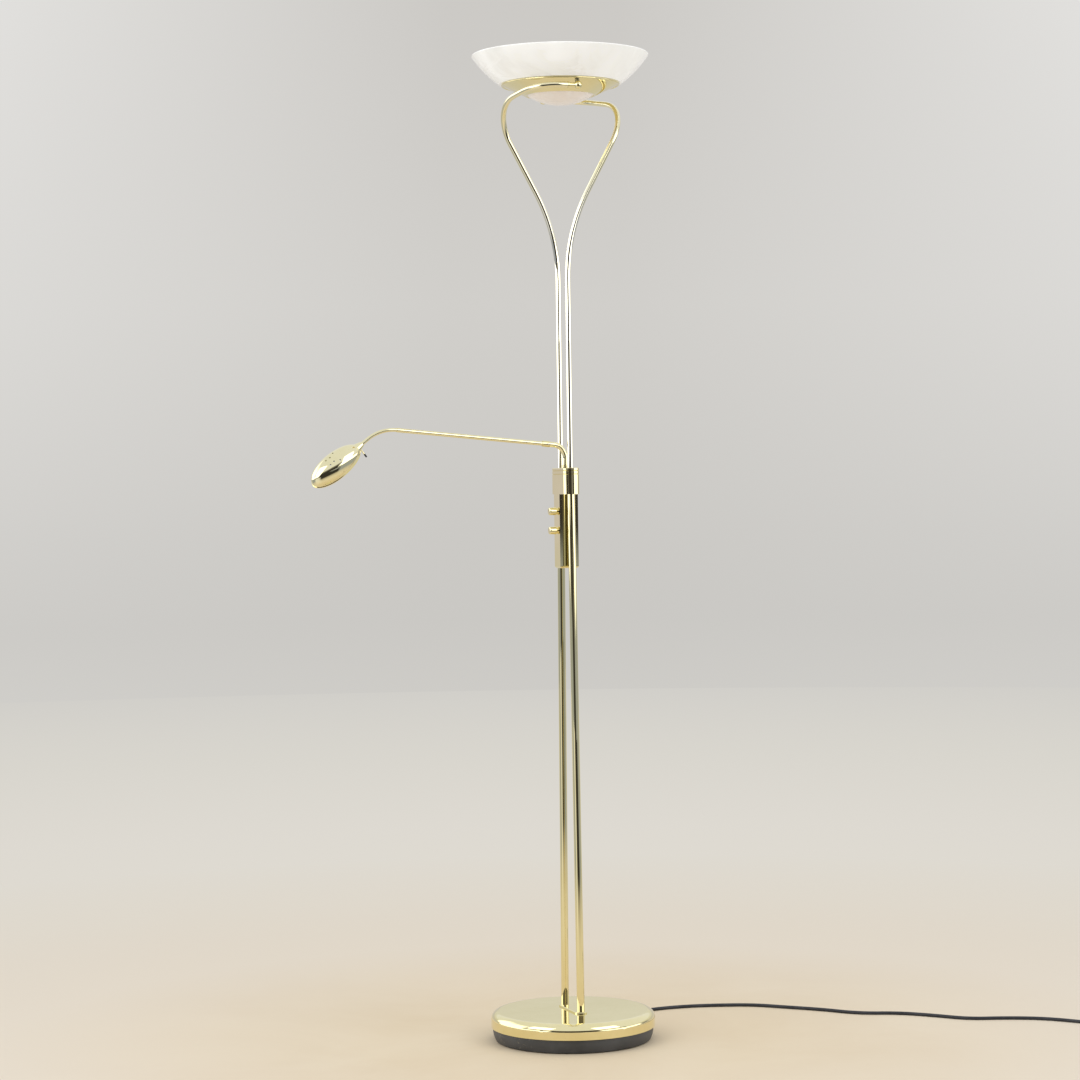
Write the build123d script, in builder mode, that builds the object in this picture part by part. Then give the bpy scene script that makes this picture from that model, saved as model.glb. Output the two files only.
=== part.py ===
"""Torchiere floor lamp with a reading light, modelled in millimetres.

The origin is the centre of the base on the floor and +Z is up. The two column tubes and the two
yoke rods start in the plane X = 0, "near" is the -Y side and "far" the +Y side. The reading arm
points to -X. The mains lead leaves the base at the back and ends in a coil with its plug.
"""
from build123d import *
import math
import os

os.makedirs("parts", exist_ok=True)

SIDES = {"near": -1, "far": 1}
CLEAR = 0.05            # radial clearance of a running or sliding fit
THREAD = 0.02           # radial clearance of a screwed fit
GAP = 0.3               # air between faces that turn past each other

# Base
COVER_R, COVER_T = 150.5, 1.2
COVER_BOTTOM, COVER_TOP = 26, 54
SHOULDER_R = 14
RIM_R, RIM_TOP, RIM_T = COVER_R - COVER_T - GAP, COVER_TOP - SHOULDER_R - 2, 8
WEIGHT_TOP_R, WEIGHT_FOOT_R = RIM_R - 2, RIM_R - 7
PAD_R, PAD_T = WEIGHT_FOOT_R - 20, 2
WEIGHT_WELL_R = PAD_R - 4
WEIGHT_BULGE = ((WEIGHT_FOOT_R + WEIGHT_TOP_R) / 2 + 1.5, (PAD_T + COVER_BOTTOM) / 2 - 2)
PLATE_BOTTOM, PLATE_T = COVER_BOTTOM - 2, 8
FOOT_T, FOOT_W = 3, 22
BOSS_W = 32

# Column tubes, which lean towards each other
TUBE_R, TUBE_WALL = 7, 1
FOOT_Y, HEAD_Y = 40, 26
COLLAR_BOTTOM, COLLAR_H = 1000, 48
COLLAR_TOP = COLLAR_BOTTOM + COLLAR_H
TUBE_POCKET = 18
NIPPLE_R, NIPPLE_BORE_R = TUBE_R - 2, TUBE_R - 3
SPIGOT_H = 23
WASHER_R, WASHER_T = NIPPLE_R + 4, 1.5
NUT_FLATS, NUT_H = 2 * NIPPLE_R + 6, 5
NIPPLE_BOTTOM = PLATE_BOTTOM - WASHER_T - NUT_H - 0.5

# Collar and dimmer housing
COLLAR_R, COLLAR_Y = 15.3, 26
GROOVES, GROOVE_DEEP = (5, 11.3), 0.8
CHAMBER_X, CHAMBER_TOP = 8, COLLAR_TOP - 17
BOX_X, BOX_Y, BOX_WALL = 36, 28, 1.2
CAVITY_X, CAVITY_Y = BOX_X - 9, BOX_Y - 9
BOX_BOTTOM = COLLAR_BOTTOM - 135
BOX_ROUND = 4
HANGER_H = 12
KNOBS = {"upper": COLLAR_BOTTOM - 31, "lower": COLLAR_BOTTOM - 66}
BEZEL_R, BEZEL_T = 6, 2.5
KNOB_R, KNOB_ROUND, KNOB_LENGTH = 7, 2.5, 16
POT_NECK_R, SHAFT_R = 3.5, 2
POT_R, POT_T = 8, 9

# Yoke rods: the far rod runs from the far side of the collar to the near side of the bowl
HEIGHT = 1801
RIM_ABOVE_PIVOT = 68.7
ROD_R, ROD_WALL = 5, 1
ROD_Y, ROD_POCKET = 24.6, 18
ROD_END_Y, ROD_END_Z = 102, HEIGHT - RIM_ABOVE_PIVOT
ROD_CORNERS = [(0, ROD_Y, ROD_END_Z - 255.4), (-119.5, 40.2, ROD_END_Z - 26.9),
               (-83.5, -ROD_END_Y, ROD_END_Z)]
ROD_BENDS = [341, 73, 59]
ROD_STOP_X, BALL_X, BALL_R = -25, -5, 7.5
PLUG_LENGTH, FLANGE_R, FLANGE_T, PIVOT_R = 11, 5.75, 2, 4
LEAD_BORE_R = 2

# Bowl
PAN_LOW_R, PAN_LOW_Z = ROD_END_Y - 37.5, ROD_END_Z - 5.3
PAN_TOP_R, PAN_TOP_Z = ROD_END_Y + 4, PAN_LOW_Z + 19.5
PAN_T, PAN_LIP_R, BEAD_R = 1.2, PAN_LOW_R - 3, 1.8
BOWL_FOOT_R, BOWL_RIM_R, BOWL_T = PAN_TOP_R + 5.4, 162.5, 4
DISH_DROP, DISH_T, DISH_FLANGE_R = 18.5, 3, PAN_LOW_R - 0.9

# Halogen light in the bowl
STRIP_W, STRIP_T, STRIP_LIFT = 24, 2, 0.45
LAMP_LIFT, LAMP_R, LAMP_SPAN = 24, 6, 118
HOLDER_X, HOLDER_Y = 14, 20
REFLECTOR_X, REFLECTOR_T, REFLECTOR_END_GAP = 45, 0.8, 4
REFLECTOR_RISE, REFLECTOR_FLAT, REFLECTOR_FLANGE = 39, 12, 7
REFLECTOR_BOW = (0.82, 0.32)
REFLECTOR_SCREW_Y = 30
GUARD_T, GUARD_INSET = 3, 1

# Reading arm
ELBOW_R, ELBOW_WALL, ELBOW_BEND = 5, 1.5, 25
ELBOW_BOTTOM, ELBOW_Z, ARM_RISE = COLLAR_TOP - 23, COLLAR_TOP + 40.7, 5.4
SLEEVE_FROM, SLEEVE_TO, SLEEVE_R = 31, 45, ELBOW_R + 0.6
ELBOW_END, ARM_R, ARM_WALL, ARM_END = (SLEEVE_FROM + SLEEVE_TO) / 2, 4, 0.6, 324
BUTT = 0.2
NECK_R, NECK_WALL, NECK_OVERLAP, NECK_BEND = ARM_R - ARM_WALL - CLEAR, 0.85, 22, 76
HEAD_DROP, NECK_STRAIGHT = 38, 23

# Reading head
SHELL_R, SHELL_BACK, SHELL_FRONT, SHELL_T = 24.5, 57, 50.5, 1.2
SHELL_SKIRT, SHELL_BEAD = 4.5, 0.8
SHELL_ROLL = 47
CONE_FROM, CONE_TO, CONE_SMALL_R, CONE_BIG_R = -9, 11, 4.8, 11
NECK_INTO_HEAD = 15
VENT_R = 1.5

# Mains lead
CORD_R, INNER_LEAD_R, THIN_LEAD_R = 3.2, 2.5, 1.4
EXIT_Z, EXIT_ANGLE = 11, 45
SPOTFACE, RELIEF_END, LIFT_OFF = WEIGHT_WELL_R + 18, WEIGHT_WELL_R + 48, 32
COIL_MID_R, COIL_GAP = 35.2, 1.6

tube_lean = Vector(0, HEAD_Y - FOOT_Y, (COLLAR_BOTTOM + COLLAR_TOP) / 2 - COVER_TOP)


def tube_y(z):
    """Distance of a column tube's axis from the middle plane at height z."""
    return FOOT_Y + (z - COVER_TOP) * tube_lean.Y / tube_lean.Z


def lean(side, low, high, radius):
    """Round bar along a column tube's axis, cut level at both ends."""
    way = Vector(0, side * tube_lean.Y, tube_lean.Z).normalized()
    with BuildPart(mode=Mode.PRIVATE) as bar:
        with BuildSketch(Plane.XY.offset(low)):
            with Locations((0, side * tube_y(low))):
                Circle(radius)
        extrude(amount=(high - low) / way.Z, dir=way)
    return bar.part


def pipe(points, bends, radius, bore=0):
    """Round tube along straight runs joined by tangent arcs."""
    with BuildPart(mode=Mode.PRIVATE) as run:
        with BuildLine() as route:
            if bends:
                FilletPolyline(*points, radius=bends)
            else:
                Polyline(*points)
        start = Plane(origin=route.line @ 0, z_dir=route.line % 0)
        with BuildSketch(start):
            Circle(radius)
            if bore:
                Circle(bore, mode=Mode.SUBTRACT)
        sweep()
    return run


def rod(origin, way, start, stop, radius):
    """Round bar along a direction, between two distances from a point."""
    with BuildPart(mode=Mode.PRIVATE) as bar:
        with BuildSketch(Plane(origin=Vector(*origin) + Vector(*way) * start, z_dir=way)):
            Circle(radius)
        extrude(amount=stop - start)
    return bar.part


# Base -------------------------------------------------------------------------------------

with BuildPart() as felt_pad:
    with BuildSketch():
        Circle(PAD_R)
    extrude(amount=PAD_T)
felt_pad.part.label = "felt_pad"
export_step(felt_pad.part, "parts/felt_pad.step")

exit_way = Vector(math.cos(math.radians(EXIT_ANGLE)), math.sin(math.radians(EXIT_ANGLE)), 0)
exit_axis = (0, 0, EXIT_Z)
plate_top = PLATE_BOTTOM + PLATE_T
GLAND_R, RELIEF_FLANGE_R, RELIEF_FLANGE_T, RELIEF_BACK_R = 4.6, 6.8, 2.5, 5.6

with BuildPart() as base_weight:
    with BuildSketch(Plane.XZ):
        with BuildLine():
            Polyline((0, PLATE_BOTTOM), (WEIGHT_WELL_R, PLATE_BOTTOM), (WEIGHT_WELL_R, PAD_T),
                     (WEIGHT_FOOT_R, PAD_T))
            ThreePointArc((WEIGHT_FOOT_R, PAD_T), WEIGHT_BULGE, (WEIGHT_TOP_R, COVER_BOTTOM))
            Polyline((WEIGHT_TOP_R, COVER_BOTTOM), (RIM_R, COVER_BOTTOM + RIM_R - WEIGHT_TOP_R),
                     (RIM_R, RIM_TOP), (RIM_R - RIM_T, RIM_TOP), (RIM_R - RIM_T, plate_top),
                     (0, plate_top), (0, PLATE_BOTTOM))
        make_face()
    revolve(axis=Axis.Z)
    with BuildSketch(Plane.XY.offset(plate_top)):
        SlotCenterToCenter(2 * FOOT_Y, BOSS_W, rotation=90)
    extrude(amount=COVER_TOP - COVER_T - plate_top)
    for side in SIDES.values():
        add(lean(side, PLATE_BOTTOM - 1, COVER_TOP, NIPPLE_R + 2 * CLEAR), mode=Mode.SUBTRACT)
    add(rod(exit_axis, exit_way, WEIGHT_WELL_R - 5, RELIEF_END, GLAND_R), mode=Mode.SUBTRACT)
    add(rod(exit_axis, exit_way, SPOTFACE, RELIEF_END, RELIEF_FLANGE_R + GAP), mode=Mode.SUBTRACT)
base_weight.part.label = "base_weight"
export_step(base_weight.part, "parts/base_weight.step")

with BuildPart() as base_cover:
    with BuildSketch(Plane.XZ):
        with BuildLine():
            Line((0, COVER_TOP), (COVER_R - SHOULDER_R, COVER_TOP))
            CenterArc((COVER_R - SHOULDER_R, COVER_TOP - SHOULDER_R), SHOULDER_R, 0, 90)
            Polyline((COVER_R, COVER_TOP - SHOULDER_R), (COVER_R, COVER_BOTTOM),
                     (COVER_R - COVER_T, COVER_BOTTOM),
                     (COVER_R - COVER_T, COVER_TOP - SHOULDER_R))
            CenterArc((COVER_R - SHOULDER_R, COVER_TOP - SHOULDER_R), SHOULDER_R - COVER_T, 0, 90)
            Polyline((COVER_R - SHOULDER_R, COVER_TOP - COVER_T), (0, COVER_TOP - COVER_T),
                     (0, COVER_TOP))
        make_face()
    revolve(axis=Axis.Z)
    for side in SIDES.values():
        add(lean(side, COVER_TOP - 3 * COVER_T, COVER_TOP + 1, NIPPLE_R + 2 * CLEAR),
            mode=Mode.SUBTRACT)
base_cover.part.label = "base_cover"
export_step(base_cover.part, "parts/base_cover.step")

foot_top = COVER_TOP + FOOT_T
with BuildPart() as foot_plate:
    with BuildSketch(Plane.XY.offset(COVER_TOP)):
        SlotCenterToCenter(2 * FOOT_Y, FOOT_W, rotation=90)
    extrude(amount=FOOT_T)
    chamfer(foot_plate.edges().group_by(Axis.Z)[-1], length=FOOT_T / 3)
    for side in SIDES.values():
        add(lean(side, COVER_TOP - 1, foot_top + 1, NIPPLE_R + 2 * CLEAR), mode=Mode.SUBTRACT)
foot_plate.part.label = "foot_plate"
export_step(foot_plate.part, "parts/foot_plate.step")

nut_top = PLATE_BOTTOM - WASHER_T
with BuildPart() as foot_nipples:
    for side in SIDES.values():
        add(lean(side, NIPPLE_BOTTOM, foot_top, NIPPLE_R))
        add(lean(side, foot_top, foot_top + SPIGOT_H, TUBE_R - TUBE_WALL - THREAD))
        add(lean(side, NIPPLE_BOTTOM - 1, foot_top + SPIGOT_H + 1, NIPPLE_BORE_R),
            mode=Mode.SUBTRACT)
foot_nipples.part.label = "foot_nipples"
export_step(foot_nipples.part, "parts/foot_nipples.step")

with BuildPart() as foot_washers:
    for side in SIDES.values():
        add(lean(side, nut_top, PLATE_BOTTOM, WASHER_R))
        add(lean(side, nut_top - 1, PLATE_BOTTOM + 1, NIPPLE_R + 2 * CLEAR), mode=Mode.SUBTRACT)
foot_washers.part.label = "foot_washers"
export_step(foot_washers.part, "parts/foot_washers.step")

with BuildPart() as foot_nuts:
    with BuildSketch(Plane.XY.offset(nut_top - NUT_H)):
        with Locations(*[(0, side * tube_y(nut_top)) for side in SIDES.values()]):
            RegularPolygon(NUT_FLATS / 2, 6, major_radius=False)
    extrude(amount=NUT_H)
    for side in SIDES.values():
        add(lean(side, nut_top - NUT_H - 1, nut_top + 1, NIPPLE_R + THREAD), mode=Mode.SUBTRACT)
foot_nuts.part.label = "foot_nuts"
export_step(foot_nuts.part, "parts/foot_nuts.step")

for name, side in SIDES.items():
    with BuildPart() as column_tube:
        add(lean(side, foot_top, COLLAR_BOTTOM + TUBE_POCKET, TUBE_R))
        add(lean(side, foot_top - 1, COLLAR_BOTTOM + TUBE_POCKET + 1, TUBE_R - TUBE_WALL),
            mode=Mode.SUBTRACT)
    column_tube.part.label = f"column_tube_{name}"
    export_step(column_tube.part, f"parts/column_tube_{name}.step")

# Collar, dimmer housing and knobs ---------------------------------------------------------

tube_top = COLLAR_BOTTOM + TUBE_POCKET
rod_bottom = COLLAR_TOP - ROD_POCKET
BUSH_R, BUSH_FLANGE_R, BUSH_FLANGE_T = 6, 7.5, 2
GRUB_R, GRUB_END, GRUB_BACK = 2, COLLAR_R - 0.8, 10
LEAD_HOLE_R, ROOF_T = NIPPLE_BORE_R - 0.5, 3
BOX_SCREW_R, BOX_SCREW_HEAD_R, BOX_SCREW_HEAD_T, BOX_SCREW_Y = 1.5, 2.8, 1.2, 7
inner_x = BOX_X / 2 - BOX_WALL
box_screw_z = COLLAR_BOTTOM - HANGER_H / 2
grub_low, grub_high = tube_top - GRUB_BACK, rod_bottom + GRUB_BACK
grubs = [(side * tube_y(grub_low), grub_low, TUBE_R + CLEAR) for side in SIDES.values()]
grubs += [(side * ROD_Y, grub_high, ROD_R + CLEAR) for side in SIDES.values()]


def groove(z):
    """Ring with a V section that cuts a groove round the collar at height z."""
    with BuildPart(mode=Mode.PRIVATE) as waist:
        for step, inset in ((-1, 0), (0, GROOVE_DEEP), (1, 0)):
            with BuildSketch(Plane.XY.offset(z + step * GROOVE_DEEP)):
                SlotCenterToCenter(2 * COLLAR_Y, 2 * (COLLAR_R - inset), rotation=90)
        loft(ruled=True)
    with BuildPart(mode=Mode.PRIVATE) as ring:
        with BuildSketch(Plane.XY.offset(z - GROOVE_DEEP)):
            SlotCenterToCenter(2 * COLLAR_Y, 2 * COLLAR_R + 2, rotation=90)
        extrude(amount=2 * GROOVE_DEEP)
        add(waist.part, mode=Mode.SUBTRACT)
    return ring.part


with BuildPart() as collar:
    with BuildSketch(Plane.XY.offset(COLLAR_BOTTOM)):
        SlotCenterToCenter(2 * COLLAR_Y, 2 * COLLAR_R, rotation=90)
    extrude(amount=COLLAR_TOP - COLLAR_BOTTOM)
    chamfer(collar.edges().group_by(Axis.Z)[-1], length=GROOVE_DEEP)
    for drop in GROOVES:
        add(groove(COLLAR_TOP - drop), mode=Mode.SUBTRACT)
    with BuildSketch(Plane.XY.offset(COLLAR_BOTTOM - HANGER_H)):
        Rectangle(2 * (inner_x - CLEAR), BOX_Y - 2 * BOX_WALL - 2 * CLEAR)
    extrude(amount=HANGER_H)
    with BuildSketch(Plane.XY.offset(COLLAR_BOTTOM - HANGER_H - 1)):
        Rectangle(CAVITY_X, CAVITY_Y)
    extrude(amount=CHAMBER_TOP - COLLAR_BOTTOM + HANGER_H + 1, mode=Mode.SUBTRACT)
    with BuildSketch(Plane.XY.offset(tube_top)):
        Rectangle(CHAMBER_X, 2 * ROD_Y + CHAMBER_X)
    extrude(amount=rod_bottom - ROOF_T - tube_top, mode=Mode.SUBTRACT)
    for side in SIDES.values():
        add(lean(side, COLLAR_BOTTOM - 1, tube_top, TUBE_R + CLEAR), mode=Mode.SUBTRACT)
        add(rod((0, side * ROD_Y, 0), (0, 0, 1), rod_bottom, COLLAR_TOP + 1, ROD_R + CLEAR),
            mode=Mode.SUBTRACT)
        add(rod((0, side * ROD_Y, 0), (0, 0, 1), tube_top, rod_bottom + 1, LEAD_HOLE_R),
            mode=Mode.SUBTRACT)
        add(rod((0, side * BOX_SCREW_Y, box_screw_z), (1, 0, 0), CAVITY_X / 2 - 1, inner_x + 1,
            BOX_SCREW_R + THREAD), mode=Mode.SUBTRACT)
    add(rod((0, 0, 0), (0, 0, 1), CHAMBER_TOP - 1, COLLAR_TOP + 1, BUSH_R + THREAD),
        mode=Mode.SUBTRACT)
    for y, z, start in grubs:
        add(rod((0, y, z), (1, 0, 0), start - 1, COLLAR_R + 1, GRUB_R + THREAD), mode=Mode.SUBTRACT)
collar.part.label = "collar"
export_step(collar.part, "parts/collar.step")

with BuildPart() as grub_screws:
    for y, z, start in grubs:
        add(rod((0, y, z), (1, 0, 0), start, GRUB_END, GRUB_R))
    with BuildSketch(Plane.YZ.offset(GRUB_END)):
        with Locations(*[(y, z) for y, z, start in grubs]):
            RegularPolygon(GRUB_R / 2, 6)
    extrude(amount=-GRUB_R, mode=Mode.SUBTRACT)
grub_screws.part.label = "grub_screws"
export_step(grub_screws.part, "parts/grub_screws.step")

with BuildPart() as housing:
    with BuildSketch(Plane.XY.offset(BOX_BOTTOM)):
        Rectangle(BOX_X, BOX_Y)
    extrude(amount=COLLAR_BOTTOM - BOX_BOTTOM)
    fillet(housing.edges().group_by(Axis.Z)[0], radius=BOX_ROUND)
    with BuildSketch(Plane.XY.offset(BOX_BOTTOM + BOX_WALL)):
        Rectangle(2 * inner_x, BOX_Y - 2 * BOX_WALL)
    extrude(amount=COLLAR_BOTTOM - BOX_BOTTOM, mode=Mode.SUBTRACT)
    for z in KNOBS.values():
        add(rod((0, 0, z), (-1, 0, 0), inner_x - 1, BOX_X / 2 + 1, POT_NECK_R + CLEAR),
            mode=Mode.SUBTRACT)
    for side in SIDES.values():
        add(rod((0, side * BOX_SCREW_Y, box_screw_z), (1, 0, 0), inner_x - 1, BOX_X / 2 + 1,
            BOX_SCREW_R + 2 * CLEAR), mode=Mode.SUBTRACT)
housing.part.label = "housing"
export_step(housing.part, "parts/housing.step")

with BuildPart() as housing_screws:
    for side in SIDES.values():
        place = (0, side * BOX_SCREW_Y, box_screw_z)
        add(rod(place, (1, 0, 0), CAVITY_X / 2 + 0.5, BOX_X / 2, BOX_SCREW_R))
        add(rod(place, (1, 0, 0), BOX_X / 2, BOX_X / 2 + BOX_SCREW_HEAD_T, BOX_SCREW_HEAD_R))
    with BuildSketch(Plane.YZ.offset(BOX_X / 2 + BOX_SCREW_HEAD_T)):
        with Locations((0, box_screw_z)):
            Rectangle(BOX_Y, BOX_SCREW_HEAD_T / 2)
    extrude(amount=-BOX_SCREW_HEAD_T / 2, mode=Mode.SUBTRACT)
housing_screws.part.label = "housing_screws"
export_step(housing_screws.part, "parts/housing_screws.step")

BOARD_T, BOARD_Y, BOARD_GAP = 1.6, BOX_Y - 4, 2
BOARD_FROM, BOARD_TO = BOX_BOTTOM + 7, COLLAR_BOTTOM - 20
TERMINAL_TOP, TERMINAL_H, TERMINAL_T = BOARD_TO - 6, 16, 9
SWITCH_Z, SWITCH_W, SWITCH_H, SWITCH_T = KNOBS["lower"] + 3, 10, 15, 4.5
CAPACITOR_Z, CAPACITOR_W, CAPACITOR_H = BOARD_FROM + 40, 16, 14
CHOKE_Z, CHOKE_R, CHOKE_BORE_R, CHOKE_T = BOARD_FROM + 18, 10, 4, 12
board_x = -inner_x + POT_T + BOARD_GAP
board_face = board_x + BOARD_T
with BuildPart() as dimmer_board:
    with BuildSketch(Plane.YZ.offset(board_x)):
        with Locations((0, (BOARD_FROM + BOARD_TO) / 2)):
            Rectangle(BOARD_Y, BOARD_TO - BOARD_FROM)
    extrude(amount=BOARD_T)
    with BuildSketch(Plane.YZ.offset(board_face)):
        with Locations((0, TERMINAL_TOP - TERMINAL_H / 2)):
            Rectangle(BOARD_Y - 4, TERMINAL_H)
        with Locations((0, CAPACITOR_Z)):
            Rectangle(CAPACITOR_W, CAPACITOR_H)
    extrude(amount=TERMINAL_T)
    add(rod((board_face, 0, CHOKE_Z), (1, 0, 0), 0, CHOKE_T, CHOKE_R))
    add(rod((board_face, 0, CHOKE_Z), (1, 0, 0), 1, CHOKE_T + 1, CHOKE_BORE_R),
        mode=Mode.SUBTRACT)
    with BuildSketch(Plane.YZ.offset(board_face)):
        with Locations((0, SWITCH_Z)):
            Rectangle(SWITCH_W, SWITCH_H)
    extrude(amount=SWITCH_T)
dimmer_board.part.label = "dimmer_board"
export_step(dimmer_board.part, "parts/dimmer_board.step")

KNOB_GAP, KNOB_FACE_T, KNOB_NOTCH, SHAFT_DEEP = 0.4, 4, 1, 5
POT_LEGS_Y, POT_LEGS_Z = 10, 3
knob_from = BOX_X / 2 + BEZEL_T + KNOB_GAP
knob_to = BOX_X / 2 + KNOB_LENGTH
shaft_end = knob_to - KNOB_FACE_T
left = (-1, 0, 0)
with BuildPart() as dimmers:
    for z in KNOBS.values():
        add(rod((0, 0, z), left, inner_x - POT_T, inner_x, POT_R))
        add(rod((0, 0, z), left, inner_x, BOX_X / 2 + BEZEL_T - 1, POT_NECK_R))
        add(rod((0, 0, z), left, inner_x - SHAFT_DEEP - 1, knob_from, SHAFT_R + CLEAR),
            mode=Mode.SUBTRACT)
    with BuildSketch(Plane.YZ.offset(-inner_x + POT_T)):
        with Locations(*[(0, z) for z in KNOBS.values()]):
            Rectangle(POT_LEGS_Y, POT_LEGS_Z)
    extrude(amount=BOARD_GAP)
dimmers.part.label = "dimmers"
export_step(dimmers.part, "parts/dimmers.step")

with BuildPart() as bezel_nuts:
    for z in KNOBS.values():
        add(rod((0, 0, z), left, BOX_X / 2, BOX_X / 2 + BEZEL_T, BEZEL_R))
    chamfer(bezel_nuts.edges().group_by(Axis.X)[0], length=0.6)
    for z in KNOBS.values():
        add(rod((0, 0, z), left, BOX_X / 2 - 1, BOX_X / 2 + BEZEL_T + 1, POT_NECK_R + THREAD),
            mode=Mode.SUBTRACT)
bezel_nuts.part.label = "bezel_nuts"
export_step(bezel_nuts.part, "parts/bezel_nuts.step")

for name, z in KNOBS.items():
    with BuildPart() as dimmer_shaft:
        add(rod((0, 0, z), left, inner_x - SHAFT_DEEP, shaft_end, SHAFT_R))
    dimmer_shaft.part.label = f"dimmer_shaft_{name}"
    export_step(dimmer_shaft.part, f"parts/dimmer_shaft_{name}.step")

    with BuildPart() as knob:
        add(rod((0, 0, z), left, knob_from, knob_to, KNOB_R))
        fillet(knob.edges().group_by(Axis.X)[0], radius=KNOB_ROUND)
        add(rod((0, 0, z), left, knob_from - 1, shaft_end, SHAFT_R + THREAD), mode=Mode.SUBTRACT)
        with BuildSketch(Plane.YZ.offset(-knob_to)):
            with Locations((0, z + KNOB_R / 4)):
                Rectangle(KNOB_NOTCH, KNOB_R / 2)
        extrude(amount=KNOB_NOTCH, mode=Mode.SUBTRACT)
    knob.part.label = f"knob_{name}"
    export_step(knob.part, f"parts/knob_{name}.step")

# Yoke rods and their pivots under the bowl ------------------------------------------------

slope = math.atan2(PAN_TOP_Z - PAN_LOW_Z, PAN_TOP_R - PAN_LOW_R)
reach = (ROD_END_Y - PAN_LOW_R) * math.sin(slope) + (PAN_LOW_Z - ROD_END_Z) * math.cos(slope)
STRIP_FROM = PAN_T + STRIP_LIFT
BOWL_NUT_FLATS, BOWL_NUT_H, NIPPLE_SPARE = 13, 5, 1.5
NIPPLE_IN_BALL, BOWL_NIPPLE_R, BOWL_NIPPLE_BORE = 4.5, 4, 2.5
nut_from = reach + STRIP_FROM + STRIP_T
nipple_to = nut_from + BOWL_NUT_H + NIPPLE_SPARE

rod_route = [(0, ROD_Y, rod_bottom), *ROD_CORNERS, (ROD_STOP_X, -ROD_END_Y, ROD_END_Z)]
ball_place = Vector(BALL_X, -ROD_END_Y, ROD_END_Z)
pan_up = Vector(0, math.sin(slope), math.cos(slope))

with BuildPart() as ball_raw:
    with Locations(ball_place):
        Sphere(BALL_R)
    add(rod(ball_place, (-1, 0, 0), -1, BALL_R + 1, PIVOT_R + THREAD), mode=Mode.SUBTRACT)
    add(rod(ball_place, pan_up, NIPPLE_IN_BALL, BALL_R + 1, BOWL_NIPPLE_R + THREAD), mode=Mode.SUBTRACT)
    add(rod(ball_place, pan_up, 0, BALL_R, BOWL_NIPPLE_BORE), mode=Mode.SUBTRACT)
with BuildPart() as end_raw:
    stop = (0, -ROD_END_Y, ROD_END_Z)
    add(rod(stop, (1, 0, 0), ROD_STOP_X - PLUG_LENGTH, ROD_STOP_X, ROD_R - ROD_WALL - THREAD))
    add(rod(stop, (1, 0, 0), ROD_STOP_X, ROD_STOP_X + FLANGE_T, FLANGE_R))
    add(rod(stop, (1, 0, 0), ROD_STOP_X + FLANGE_T, BALL_X - 2 * LEAD_BORE_R, PIVOT_R))
    add(rod(stop, (1, 0, 0), ROD_STOP_X - PLUG_LENGTH - 1, BALL_X, LEAD_BORE_R), mode=Mode.SUBTRACT)
rod_raw = pipe(rod_route, ROD_BENDS, ROD_R, ROD_R - ROD_WALL)
with BuildPart() as nipple_raw:
    add(rod(ball_place, pan_up, NIPPLE_IN_BALL, nipple_to, BOWL_NIPPLE_R))
    add(rod(ball_place, pan_up, NIPPLE_IN_BALL - 1, nipple_to + 1, BOWL_NIPPLE_BORE), mode=Mode.SUBTRACT)
with BuildPart() as bowl_nut_raw:
    with BuildSketch(Plane(origin=ball_place + pan_up * nut_from, x_dir=(1, 0, 0), z_dir=pan_up)):
        RegularPolygon(BOWL_NUT_FLATS / 2, 6, major_radius=False)
        Circle(BOWL_NIPPLE_R + THREAD, mode=Mode.SUBTRACT)
    extrude(amount=BOWL_NUT_H)

for name, angle in (("far", 0), ("near", 180)):
    with BuildPart() as yoke_rod:
        add(rod_raw.part.rotate(Axis.Z, angle))
    yoke_rod.part.label = f"yoke_rod_{name}"
    export_step(yoke_rod.part, f"parts/yoke_rod_{name}.step")

for name, raw in (("rod_ends", end_raw), ("pivot_balls", ball_raw),
                  ("bowl_nipples", nipple_raw), ("bowl_nuts", bowl_nut_raw)):
    with BuildPart() as pair:
        add(raw.part)
        add(raw.part.rotate(Axis.Z, 180))
    pair.part.label = name
    export_step(pair.part, f"parts/{name}.step")

# Bowl --------------------------------------------------------------------------------------

skin = Vector(-math.sin(slope), math.cos(slope)) * PAN_T
lip_top = PAN_LOW_Z + PAN_T
seat_r = PAN_LOW_R + skin.X + (lip_top - PAN_LOW_Z - skin.Y) / math.tan(slope)
bead = (PAN_TOP_R + PAN_T / 3, PAN_TOP_Z)
with BuildPart() as bowl_pan:
    with BuildSketch(Plane.XZ):
        with BuildLine():
            Polyline((PAN_LIP_R, PAN_LOW_Z), (PAN_LOW_R, PAN_LOW_Z), (PAN_TOP_R, PAN_TOP_Z),
                     (PAN_TOP_R + skin.X, PAN_TOP_Z + skin.Y), (seat_r, lip_top),
                     (PAN_LIP_R, lip_top), (PAN_LIP_R, PAN_LOW_Z))
        make_face()
        with Locations(bead):
            Circle(BEAD_R)
    revolve(axis=Axis.Z)
    for side in SIDES.values():
        add(rod((side * -BALL_X, side * ROD_END_Y, ROD_END_Z), (0, -side * pan_up.Y, pan_up.Z),
            BALL_R, nut_from, BOWL_NIPPLE_R + 2 * CLEAR), mode=Mode.SUBTRACT)
bowl_pan.part.label = "bowl_pan"
export_step(bowl_pan.part, "parts/bowl_pan.step")


def cap(radius, r):
    """Depth of a ball's surface below its centre at distance r from its axis."""
    return math.sqrt(radius ** 2 - r ** 2)


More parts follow.
